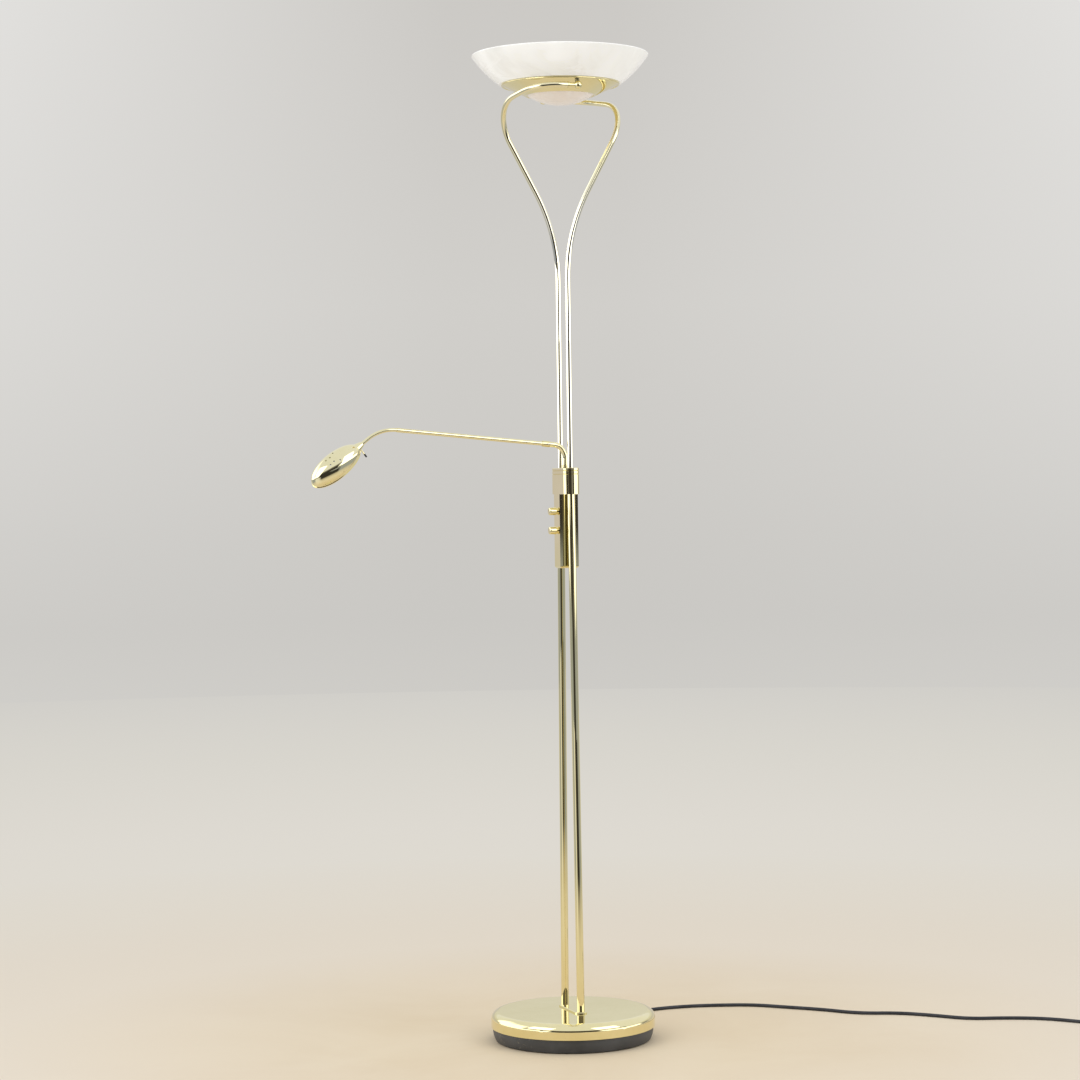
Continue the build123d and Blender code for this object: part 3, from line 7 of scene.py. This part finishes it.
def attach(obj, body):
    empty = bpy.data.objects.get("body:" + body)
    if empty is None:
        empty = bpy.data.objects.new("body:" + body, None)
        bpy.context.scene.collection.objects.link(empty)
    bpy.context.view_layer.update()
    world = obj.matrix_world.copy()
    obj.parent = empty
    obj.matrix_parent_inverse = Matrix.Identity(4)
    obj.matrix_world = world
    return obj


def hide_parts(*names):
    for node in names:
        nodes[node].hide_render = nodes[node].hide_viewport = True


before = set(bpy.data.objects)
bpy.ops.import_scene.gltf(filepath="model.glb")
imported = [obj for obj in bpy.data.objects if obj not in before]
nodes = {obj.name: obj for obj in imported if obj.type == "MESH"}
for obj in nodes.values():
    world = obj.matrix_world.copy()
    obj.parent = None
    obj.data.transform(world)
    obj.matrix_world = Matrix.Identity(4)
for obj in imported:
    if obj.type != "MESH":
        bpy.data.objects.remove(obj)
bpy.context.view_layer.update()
scene = bpy.context.scene

# ---- camera: level with the collar, slightly rolled as the photograph is

AZIMUTH, PITCH, ROLL = math.radians(20.5), math.radians(1.045), math.radians(0.80)
DISTANCE, SIDE_STEP, EYE_HEIGHT, LENS, SENSOR = 5.160, -0.0485, 1.011, 94, 36

level = Vector((math.sin(AZIMUTH), math.cos(AZIMUTH), 0))
right = Vector((math.cos(AZIMUTH), -math.sin(AZIMUTH), 0))
ahead = level * math.cos(PITCH) - Vector((0, 0, math.sin(PITCH)))
up = right.cross(ahead)
rolled_right = right * math.cos(ROLL) - up * math.sin(ROLL)
rolled_up = right * math.sin(ROLL) + up * math.cos(ROLL)
lens = bpy.data.cameras.new("camera")
lens.lens, lens.sensor_width = LENS, SENSOR
camera = bpy.data.objects.new("camera", lens)
scene.collection.objects.link(camera)
facing = Matrix((rolled_right, rolled_up, -ahead)).transposed()
eye = level * -DISTANCE + right * SIDE_STEP + Vector((0, 0, EYE_HEIGHT))
camera.matrix_world = Matrix.Translation(eye) @ facing.to_4x4()
scene.camera = camera

# ---- mains lead: one spline from the strain relief to the plug

CORD_R = 0.0032
ROUTE = [(117.4, 117.4, 11), (140, 140, 11), (183, 173, 3.2), (243, 197, 3.2), (312, 197, 3.2),
         (374, 181, 3.2), (436, 156, 3.2), (484, 106, 3.2), (535, 56, 3.2), (580, -8, 3.2),
         (650, -36, 3.2), (699, -86, 3.2), (741, -143, 3.2), (808, -164, 3.2), (871, -199, 3.2),
         (915, -254, 3.2), (945, -305, 3.2)]
COIL_MID_R, COIL_PITCH, HALF_TURNS_IN, HALF_TURNS_OUT = 0.0352, 0.0080, 4, 3
LAST_R, PLUG_HALF_T, PER_HALF = 0.060, 0.00685, 8

points = [Vector(p) / 1000 for p in ROUTE]
way = (points[-1] - points[-2]).normalized()
side = Vector((-way.y, way.x, 0))
first_r = COIL_MID_R + COIL_PITCH
centre = points[-1] + way * 2 * CORD_R + side * first_r
stations = [(first_r - k * COIL_PITCH / 2, CORD_R) for k in range(HALF_TURNS_IN + 1)]
stations += [(first_r - (HALF_TURNS_IN - k) * COIL_PITCH / 2, CORD_R + COIL_PITCH)
             for k in range(HALF_TURNS_OUT + 1)]
stations.append((LAST_R, PLUG_HALF_T))
# the spline runs inside its points, so these stand out by what it cuts off
bulge = 1 / (0.75 + 0.25 * math.cos(math.pi / PER_HALF))
for k, ((r_a, z_a), (r_b, z_b)) in enumerate(zip(stations, stations[1:])):
    from_side = -side if k % 2 == 0 else side
    ahead_way = way if k % 2 == 0 else -way
    middle = centre + from_side * (r_a - r_b) / 2
    for step in range(PER_HALF):
        part = (step + 0.5) / PER_HALF
        r = (r_a + r_b) / 2 * bulge
        points.append(middle + from_side * math.cos(math.pi * part) * r
                      + ahead_way * math.sin(math.pi * part) * r
                      + Vector((0, 0, z_a + (z_b - z_a) * part - CORD_R)))
end_way = way * (-1 if len(stations) % 2 == 0 else 1)
last = centre + side * -math.cos(math.pi * (len(stations) - 1)) * LAST_R
plug_back = last + end_way * 2 * CORD_R + Vector((0, 0, PLUG_HALF_T - CORD_R))
points.append(plug_back)

curve = bpy.data.curves.new("mains_lead", "CURVE")
curve.dimensions = "3D"
curve.bevel_depth, curve.bevel_resolution, curve.resolution_u = 1, 5, 10
curve.use_fill_caps = True
spline = curve.splines.new("NURBS")
spline.points.add(len(points) - 1)
for place, p in zip(spline.points, points):
    place.co = (*p, 1)
    place.radius = CORD_R
spline.order_u = 3
spline.use_endpoint_u = True
cord = bpy.data.objects.new("mains_lead", curve)
scene.collection.objects.link(cord)
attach(cord, "stand")
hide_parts("cord_floor", "cord_coil")

# ---- materials

BEND_LOW, BEND_HIGH = 1.50, 1.60
CHIP_ANGLE = math.radians(52)
CHIPPED_WAY = -level * math.cos(CHIP_ANGLE) - right * math.sin(CHIP_ANGLE)


class Net:
    """A node material with a Principled shader, its fixed values on the shader's own sockets."""

    def __init__(self, name, **fixed):
        self.material = bpy.data.materials.new(name)
        self.material.use_nodes = True
        self.tree = self.material.node_tree
        self.tree.nodes.clear()
        self.output = self.tree.nodes.new("ShaderNodeOutputMaterial")
        self.shader = self.tree.nodes.new("ShaderNodeBsdfPrincipled")
        self.tree.links.new(self.shader.outputs[0], self.output.inputs["Surface"])
        self.place = self.tree.nodes.new("ShaderNodeTexCoord").outputs["Object"]
        for socket, value in fixed.items():
            self.shader.inputs[socket.replace("_", " ")].default_value = value

    def node(self, kind, inputs=(), **settings):
        made = self.tree.nodes.new("ShaderNode" + kind)
        for key, value in settings.items():
            setattr(made, key, value)
        for socket, value in dict(inputs).items():
            target = made.inputs[socket]
            if isinstance(value, bpy.types.NodeSocket):
                self.tree.links.new(value, target)
            else:
                target.default_value = value
        return made

    def stretched(self, scale):
        return self.node("Mapping", {"Vector": self.place, "Scale": scale}).outputs[0]

    def noise(self, scale, detail=4, rough=0.55, stretch=(1, 1, 1), bend=0):
        return self.node("TexNoise", {"Vector": self.stretched(stretch), "Scale": scale,
                                      "Detail": detail, "Roughness": rough,
                                      "Distortion": bend}).outputs["Fac"]

    def specks(self, scale):
        return self.node("TexVoronoi", {"Vector": self.stretched((1, 1, 1)), "Scale": scale},
                         feature="F1").outputs["Distance"]

    def ramp(self, fac, *stops):
        made = self.node("ValToRGB", {"Fac": fac})
        band = made.color_ramp
        while len(band.elements) < len(stops):
            band.elements.new(0.5)
        for element, (at, colour) in zip(band.elements, stops):
            element.position = at
            element.color = (*colour, 1)
        return made.outputs["Color"]

    def level(self, fac, low, high, to_low, to_high):
        return self.node("MapRange", {"Value": fac, "From Min": low, "From Max": high,
                                      "To Min": to_low, "To Max": to_high}).outputs[0]

    def mix(self, fac, a, b):
        made = self.tree.nodes.new("ShaderNodeMix")
        made.data_type = "RGBA"
        for socket, value in ((made.inputs[0], fac), (made.inputs[6], a), (made.inputs[7], b)):
            if isinstance(value, bpy.types.NodeSocket):
                self.tree.links.new(value, socket)
            else:
                socket.default_value = value if socket == made.inputs[0] else (*value, 1)
        return made.outputs[2]

    def math(self, operation, a, b=0.0):
        made = self.node("Math", operation=operation)
        for socket, value in ((made.inputs[0], a), (made.inputs[1], b)):
            if isinstance(value, bpy.types.NodeSocket):
                self.tree.links.new(value, socket)
            else:
                socket.default_value = value
        return made.outputs[0]

    def set(self, socket, value):
        self.tree.links.new(value, self.shader.inputs[socket])

    def bump(self, height, strength, distance):
        made = self.node("Bump", {"Height": height, "Strength": strength, "Distance": distance})
        self.set("Normal", made.outputs[0])


def brass(name, pale, deep, rough, streak, stretch, highlight_foot=None):
    """Polished brass under lacquer: faint colour drift, fine polishing lines, smudges and specks.
    With a highlight colour given, the piece is paler below BEND_LOW: a painted highlight standing
    in for the near-white reflection along the straight rods."""
    net = Net(name, Metallic=1.0, Coat_Weight=0.08, Coat_Roughness=0.04, Coat_IOR=1.45)
    drift = net.noise(9, 5, 0.6)
    lines = net.noise(streak, 6, 0.7, stretch)
    tone = net.math("ADD", net.math("MULTIPLY", drift, 0.7), net.math("MULTIPLY", lines, 0.3))
    colour = net.ramp(tone, (0.36, deep), (0.62, pale))
    if highlight_foot:
        # painted highlight: the lower part takes the paler, near-white colour
        z = net.node("SeparateXYZ", {0: net.place}).outputs["Z"]
        colour = net.mix(net.level(z, BEND_LOW, BEND_HIGH, 0.0, 1.0), highlight_foot, colour)
    spots = net.level(net.specks(210), 0.05, 0.11, 1.0, 0.0)
    sparse = net.level(net.noise(38, 2), 0.62, 0.70, 0.0, 0.6)
    worn = net.math("MULTIPLY", spots, sparse)
    dull = tuple(c * 0.6 for c in deep)
    net.set("Base Color", net.mix(worn, colour, dull))
    smudge = net.noise(24, 5, 0.65, bend=0.8)
    gloss = net.level(smudge, 0.30, 0.75, rough * 0.6, rough * 1.9)
    net.set("Roughness", net.math("ADD", gloss, net.math("MULTIPLY", worn, 0.2)))
    return net.material


column = brass("brass_column", (0.90, 0.81, 0.49), (0.84, 0.75, 0.42), 0.022, 340, (1, 1, 0.03))
base = brass("brass_base", (0.90, 0.81, 0.48), (0.84, 0.75, 0.41), 0.030, 120, (1, 1, 1))
# the rods carry a painted highlight: near white below BEND_LOW, for the pale reflection along their
# straight runs
rods = brass("brass_rod", (0.91, 0.84, 0.57), (0.85, 0.78, 0.49), 0.020, 300, (1, 1, 0.05),
             highlight_foot=(0.90, 0.86, 0.71))
turned = brass("brass_turned", (0.89, 0.80, 0.46), (0.80, 0.71, 0.37), 0.030, 260, (1, 1, 1))
head = brass("brass_head", (0.90, 0.83, 0.54), (0.84, 0.77, 0.46), 0.026, 130, (1, 1, 1))


def iron():
    """Black paint over a cast disc, with small pale chips left of the camera's side."""
    net = Net("iron", Specular_IOR_Level=0.45)
    cloud = net.noise(14, 6, 0.65)
    paint = net.ramp(cloud, (0.35, (0.040, 0.042, 0.046)), (0.70, (0.075, 0.078, 0.084)))
    grain = net.noise(420, 3, 0.6)
    chips = net.level(net.noise(95, 5, 0.7, bend=1.5), 0.600, 0.625, 0.0, 1.0)
    round_way = net.node("VectorMath", {0: net.place}, operation="NORMALIZE").outputs[0]
    worn_side = net.node("VectorMath", {0: round_way, 1: CHIPPED_WAY}, operation="DOT_PRODUCT")
    where = net.level(worn_side.outputs["Value"], 0.90, 0.96, 0.0, 1.0)
    chipped = net.math("MULTIPLY", chips, where)
    net.set("Base Color", net.mix(chipped, paint, (0.26, 0.24, 0.20)))
    net.set("Roughness", net.level(cloud, 0.3, 0.7, 0.36, 0.55))
    net.bump(grain, 0.25, 0.0003)
    return net.material


def plain(name, dark, light, rough, scale, bump, distance, **fixed):
    """One finish with clouded tone, uneven gloss and a fine grain."""
    net = Net(name, **fixed)
    cloud = net.noise(scale, 5, 0.6)
    net.set("Base Color", net.ramp(cloud, (0.32, dark), (0.68, light)))
    net.set("Roughness", net.level(net.noise(scale * 2.3, 4), 0.3, 0.7, rough * 0.8, rough * 1.25))
    net.bump(net.noise(scale * 14, 4, 0.65), bump, distance)
    return net.material


def felt():
    """Dark needled felt under the ballast."""
    net = Net("felt", Roughness=0.95, Sheen_Weight=0.4, Sheen_Roughness=0.5)
    fuzz = net.noise(900, 4, 0.7)
    net.set("Base Color", net.ramp(fuzz, (0.30, (0.012, 0.013, 0.014)),
                                   (0.70, (0.05, 0.052, 0.055))))
    net.bump(fuzz, 0.6, 0.0006)
    return net.material


def alabaster(name, pale, shade, vein, glow):
    """Opal glass with drifting milky clouds and a few thin veins, and a painted glow: it emits its
    own colour though no lamp in it is lit.
    """
    net = Net(name, Roughness=0.22, IOR=1.5, Subsurface_Weight=0.15, Subsurface_Scale=0.004,
              Coat_Weight=0.5, Coat_Roughness=0.05, Emission_Strength=glow)
    net.shader.inputs["Subsurface Radius"].default_value = (1.0, 0.95, 0.88)
    cloud = net.noise(7, 6, 0.6, bend=1.6)
    drift = net.ramp(cloud, (0.30, shade), (0.60, pale))
    sheet = net.noise(4.2, 7, 0.62, (1, 1, 2.2), 2.4)
    line = net.math("ABSOLUTE", net.math("SUBTRACT", sheet, 0.5))
    thin = net.level(line, 0.0, 0.035, 1.0, 0.0)
    broken = net.math("MULTIPLY", thin, net.level(net.noise(9, 3), 0.42, 0.62, 0.0, 0.75))
    colour = net.mix(broken, drift, vein)
    net.set("Base Color", colour)
    # painted glow: the glass shines by its own colour with no light inside
    net.set("Emission Color", colour)
    net.bump(net.noise(60, 4, 0.6), 0.06, 0.0008)
    return net.material


def clear(name, tint, rough):
    """Clear glass with faint dust."""
    net = Net(name, IOR=1.47, Transmission_Weight=1.0)
    dust = net.noise(160, 5, 0.7)
    net.set("Base Color", net.ramp(dust, (0.45, tint), (0.80, tuple(c * 0.8 for c in tint))))
    net.set("Roughness", net.level(dust, 0.4, 0.8, rough, rough + 0.12))
    return net.material


def brushed(name, dark, light, rough, scale, stretch):
    """Bare metal with fine drawn lines."""
    net = Net(name, Metallic=1.0)
    lines = net.noise(scale, 6, 0.7, stretch)
    net.set("Base Color", net.ramp(lines, (0.3, dark), (0.7, light)))
    net.set("Roughness", net.level(net.noise(30, 4), 0.3, 0.7, rough * 0.7, rough * 1.4))
    net.bump(lines, 0.12, 0.0002)
    return net.material


def cord_rubber():
    """Black PVC sheath with a dull bloom and rubbed patches."""
    net = Net("cord", Specular_IOR_Level=0.4)
    bloom = net.noise(35, 5, 0.65)
    net.set("Base Color", net.ramp(bloom, (0.32, (0.012, 0.013, 0.017)),
                                   (0.72, (0.038, 0.040, 0.048))))
    net.set("Roughness", net.level(net.noise(90, 4), 0.3, 0.7, 0.30, 0.55))
    net.bump(net.noise(1200, 3, 0.6), 0.15, 0.0002)
    return net.material


looks = {
    "brass_column": column, "brass_base": base, "brass_rod": rods, "brass_turned": turned,
    "brass_head": head, "iron": iron(), "felt": felt(), "cord": cord_rubber(),
    "steel": brushed("steel", (0.36, 0.35, 0.33), (0.60, 0.59, 0.56), 0.28, 260, (1, 1, 1)),
    "aluminium": brushed("aluminium", (0.72, 0.72, 0.71), (0.90, 0.90, 0.89), 0.22, 180,
                         (1, 0.05, 1)),
    "pins": brushed("pins", (0.62, 0.60, 0.55), (0.82, 0.80, 0.74), 0.20, 300, (1, 1, 1)),
    # both glasses carry a painted glow, 0.22 on the bowl and 0.14 on the dish
    "glass_bowl": alabaster("glass_bowl", (0.92, 0.925, 0.905), (0.81, 0.805, 0.775),
                            (1.0, 1.0, 0.99), 0.22),
    "glass_dish": alabaster("glass_dish", (0.89, 0.81, 0.74), (0.86, 0.78, 0.71),
                            (0.91, 0.85, 0.79), 0.14),
    "glass_clear": clear("glass_clear", (0.97, 0.98, 0.97), 0.03),
    "quartz": clear("quartz", (0.98, 0.97, 0.94), 0.02),
    "ceramic": plain("ceramic", (0.66, 0.64, 0.58), (0.80, 0.78, 0.73), 0.45, 60, 0.1, 0.0003),
    "board": plain("board", (0.020, 0.080, 0.035), (0.035, 0.120, 0.055), 0.45, 70, 0.1, 0.0002),
    "potentiometer": plain("potentiometer", (0.16, 0.16, 0.17), (0.30, 0.30, 0.31), 0.4, 80, 0.1,
                           0.0002, Metallic=0.6),
    "plug": plain("plug", (0.013, 0.013, 0.015), (0.035, 0.036, 0.040), 0.42, 50, 0.2, 0.0004),
    "lead": plain("lead", (0.42, 0.41, 0.38), (0.56, 0.55, 0.51), 0.5, 60, 0.1, 0.0002),
    "black_tip": plain("black_tip", (0.010, 0.010, 0.012), (0.028, 0.028, 0.032), 0.4, 120, 0.2,
                       0.0003),
}
for node in nodes.values():
    for place in node.material_slots:
        place.material = looks[place.material.name.split(".")[0]]
curve.materials.append(looks["cord"])

# ---- floor, backdrop and light

FLOOR_R, RING_SIDES, FADE_FROM, FADE_TO = 9.0, 96, 0.7, 2.6
SHEET_TO, SHEET_OUT = 1.0, 2.8
DARK, SIDE_FLOOR = (0.040, 0.037, 0.035), (0.37, 0.40, 0.46)
# bearing of a painted sheen on the far floor, left of the camera's side
SHEEN_ANGLE = math.radians(43)
sheen_way = -level * math.cos(SHEEN_ANGLE) - right * math.sin(SHEEN_ANGLE)

disc = bpy.data.meshes.new("floor")
ring = [(math.cos(math.tau * k / RING_SIDES) * FLOOR_R,
         math.sin(math.tau * k / RING_SIDES) * FLOOR_R, 0) for k in range(RING_SIDES)]
disc.from_pydata(ring, [], [list(range(RING_SIDES))])
floor = bpy.data.objects.new("floor", disc)
scene.collection.objects.link(floor)

net = Net("floor", Roughness=0.75, Specular_IOR_Level=0.15)
cloth = net.noise(2.2, 6, 0.62, bend=0.6)
far = net.node("VectorMath", {0: net.place}, operation="LENGTH").outputs["Value"]
paper = net.mix(net.level(cloth, 0.35, 0.65, 0.0, 1.0), (0.735, 0.620, 0.455),
                (0.775, 0.670, 0.510))
net.set("Base Color", net.mix(net.level(far, 0.35, 1.1, 0.0, 1.0), paper, (0.79, 0.715, 0.61)))
net.bump(net.noise(9, 5, 0.6), 0.15, 0.01)
fade = net.level(far, FADE_FROM, FADE_TO, 0.0, 1.0)
pale_floor = net.ramp(net.level(far, 0, FLOOR_R, 0.0, 1.0), (0.08, (0.735, 0.675, 0.585)),
                      (0.20, (0.740, 0.705, 0.635)), (0.36, (0.728, 0.697, 0.640)),
                      (0.62, (0.690, 0.668, 0.615)), (1.0, (0.640, 0.625, 0.590)))

# what the brass mirrors of the floor: pale paper near the lamp, a dark room towards the camera
towards = net.node("VectorMath", {0: net.place}, operation="NORMALIZE").outputs[0]
to_front = net.node("VectorMath", {0: towards, 1: -level},
                    operation="DOT_PRODUCT").outputs["Value"]
to_left = net.node("VectorMath", {0: towards, 1: sheen_way},
                   operation="DOT_PRODUCT").outputs["Value"]
unlit = net.ramp(net.level(to_front, -1, 1, 0.0, 1.0), (0.30, (0.66, 0.64, 0.60)),
                 (0.40, SIDE_FLOOR), (0.84, SIDE_FLOOR), (0.88, DARK))
room_floor = net.mix(net.level(far, SHEET_TO, SHEET_OUT, 0.0, 1.0), (0.70, 0.645, 0.56), unlit)
# painted sheen: a near-white patch emitted on the far floor to the left, which the brass mirrors in
# place of the softbox shining in the paper
room_floor = net.mix(net.level(to_left, 0.92, 0.985, 0.0, 0.8), room_floor, (1.0, 0.98, 0.96))
by_camera = net.node("LightPath").outputs["Is Camera Ray"]
glow = net.node("Emission", {"Color": net.mix(by_camera, room_floor, pale_floor), "Strength": 1.0})
shown = net.node("MixShader", {0: fade, 1: net.shader.outputs[0], 2: glow.outputs[0]})
net.tree.links.new(shown.outputs[0], net.output.inputs["Surface"])
disc.materials.append(net.material)

world = bpy.data.worlds.new("studio")
scene.world = world
world.use_nodes = True
tree = world.node_tree
tree.nodes.clear()


def sky(kind, inputs=(), **settings):
    made = tree.nodes.new("ShaderNode" + kind)
    for key, value in settings.items():
        setattr(made, key, value)
    for socket, value in dict(inputs).items():
        if isinstance(value, bpy.types.NodeSocket):
            tree.links.new(value, made.inputs[socket])
        else:
            made.inputs[socket].default_value = value
    return made


def sky_ramp(fac, *stops):
    made = sky("ValToRGB", {"Fac": fac})
    band = made.color_ramp
    while len(band.elements) < len(stops):
        band.elements.new(0.5)
    for element, (at, colour) in zip(band.elements, stops):
        element.position, element.color = at, (*colour, 1)
    return made.outputs[0]


def sky_level(value, low, high, to_low=0.0, to_high=1.0):
    return sky("MapRange", {"Value": value, "From Min": low, "From Max": high, "To Min": to_low,
                            "To Max": to_high}).outputs[0]


def sky_mix(fac, a, b):
    return sky("Mix", {0: fac, 6: a, 7: b}, data_type="RGBA").outputs[2]


def turned_by(*stops):
    """Colours round the lamp, each at an angle from the camera's side, rightwards positive."""
    return sky_ramp(around, *[((angle + 180) / 360, colour) for angle, colour in stops])


PANEL, SHADE, DIM = (2.0, 2.0, 2.0), (0.34, 0.34, 0.36), (0.16, 0.15, 0.14)
WALL, CURTAIN, HIGH_WALL = (0.62, 0.60, 0.575), (0.65, 0.62, 0.68), (0.74, 0.735, 0.66)
CEILING, LIGHT = (0.86, 0.88, 0.92), (0.84, 0.83, 0.81, 1)
way_out = sky("TexCoord").outputs["Generated"]
height = sky("SeparateXYZ", {0: way_out}).outputs["Z"]
sideways = sky("VectorMath", {0: way_out, 1: right}, operation="DOT_PRODUCT").outputs["Value"]
front = sky("VectorMath", {0: way_out, 1: -level}, operation="DOT_PRODUCT").outputs["Value"]
bearing = sky("Math", {0: sideways, 1: front}, operation="ARCTAN2").outputs[0]
around = sky_level(bearing, -math.pi, math.pi)

# what the camera sees behind the lamp
pale = sky_ramp(sky_level(height, -0.10, 0.20), (0.0, (0.640, 0.625, 0.590)),
                (0.18, (0.591, 0.578, 0.552)), (0.28, (0.597, 0.584, 0.558)),
                (0.55, (0.636, 0.622, 0.595)), (0.90, (0.604, 0.588, 0.562)))
corner = sky("Math", {0: sky_level(sky("Math", {0: sideways}, operation="ABSOLUTE").outputs[0],
                                   0.03, 0.19), 1: sky_level(height, -0.05, 0.17, 0.10, 1.0)},
             operation="MULTIPLY").outputs[0]
pale = sky_mix(corner, pale, (0.76, 0.75, 0.73, 1))

# what the brass mirrors: white panels either side of a dark room, a pale ceiling above
low = turned_by((-180, WALL), (-156, WALL), (-150, CURTAIN), (-131, CURTAIN), (-128, SHADE),
                (-123, SHADE), (-120, PANEL), (-72, PANEL), (-64, DARK), (-45, DARK), (-36, DIM),
                (-26, DARK), (8, DARK), (17, SHADE), (27, DIM), (34, DARK), (45, DARK), (48, PANEL),
                (104, PANEL), (112, SHADE), (124, SHADE), (132, WALL), (180, WALL))
middle = turned_by((-180, WALL), (-128, WALL), (-123, PANEL), (-38, PANEL), (-30, DARK), (34, DARK),
                   (42, PANEL), (104, PANEL), (112, SHADE), (124, SHADE), (132, WALL), (180, WALL))
high = turned_by((-180, HIGH_WALL), (-138, HIGH_WALL), (-133, PANEL), (-80, PANEL), (-76, DIM),
                 (-26, DIM), (26, DIM), (76, DIM), (82, (0.7, 0.7, 0.7)), (106, (0.7, 0.7, 0.7)),
                 (114, HIGH_WALL), (180, HIGH_WALL))
top = turned_by((-180, CEILING), (-138, CEILING), (-133, PANEL), (-80, PANEL), (-75, CEILING),
                (180, CEILING))
below = turned_by((-180, WALL), (-130, WALL), (-125, SIDE_FLOOR), (-46, SIDE_FLOOR), (-26, DARK),
                  (16, DARK), (30, SIDE_FLOOR), (120, SIDE_FLOOR), (130, WALL), (180, WALL))
walls = sky_mix(sky_level(height, -0.030, -0.014), below, low)
walls = sky_mix(sky_level(height, 0.006, 0.016), walls, middle)
walls = sky_mix(sky_level(height, 0.15, 0.19), walls, high)
walls = sky_mix(sky_level(height, 0.24, 0.32), walls, top)
room = sky_mix(sky_level(height, 0.55, 0.70), walls, (*CEILING, 1))
rays = sky("LightPath").outputs
seen = sky_mix(rays["Is Glossy Ray"], LIGHT, room)
seen = sky_mix(rays["Is Camera Ray"], seen, pale)
back = sky("Background", {"Color": seen, "Strength": 1.0})
tree.links.new(back.outputs[0], sky("OutputWorld").inputs[0])


LAMP_ANGLE, LAMP_AWAY, LAMP_HEIGHT, LIT_SPOT = 51, 3.14, 2.4, Vector((0, 0, 1.2))
PANEL_TALL, POWER = 2.0, 25


def softbox(name, place, wide):
    lamp = bpy.data.lights.new(name, "AREA")
    lamp.shape, lamp.size, lamp.size_y = "RECTANGLE", wide, PANEL_TALL
    lamp.energy = POWER
    holder = bpy.data.objects.new(name, lamp)
    scene.collection.objects.link(holder)
    holder.location = place
    holder.rotation_euler = (LIT_SPOT - place).to_track_quat("-Z", "Y").to_euler()


def beside(degrees):
    """A place round the lamp at an angle from the camera's side, rightwards positive."""
    turn = math.radians(degrees)
    out_there = (right * math.sin(turn) - level * math.cos(turn)) * LAMP_AWAY
    return out_there + Vector((0, 0, LAMP_HEIGHT))


softbox("softbox_left", beside(-LAMP_ANGLE), 2.2)
softbox("softbox_right", beside(LAMP_ANGLE), 2.3)

scene.view_settings.view_transform = "Standard"
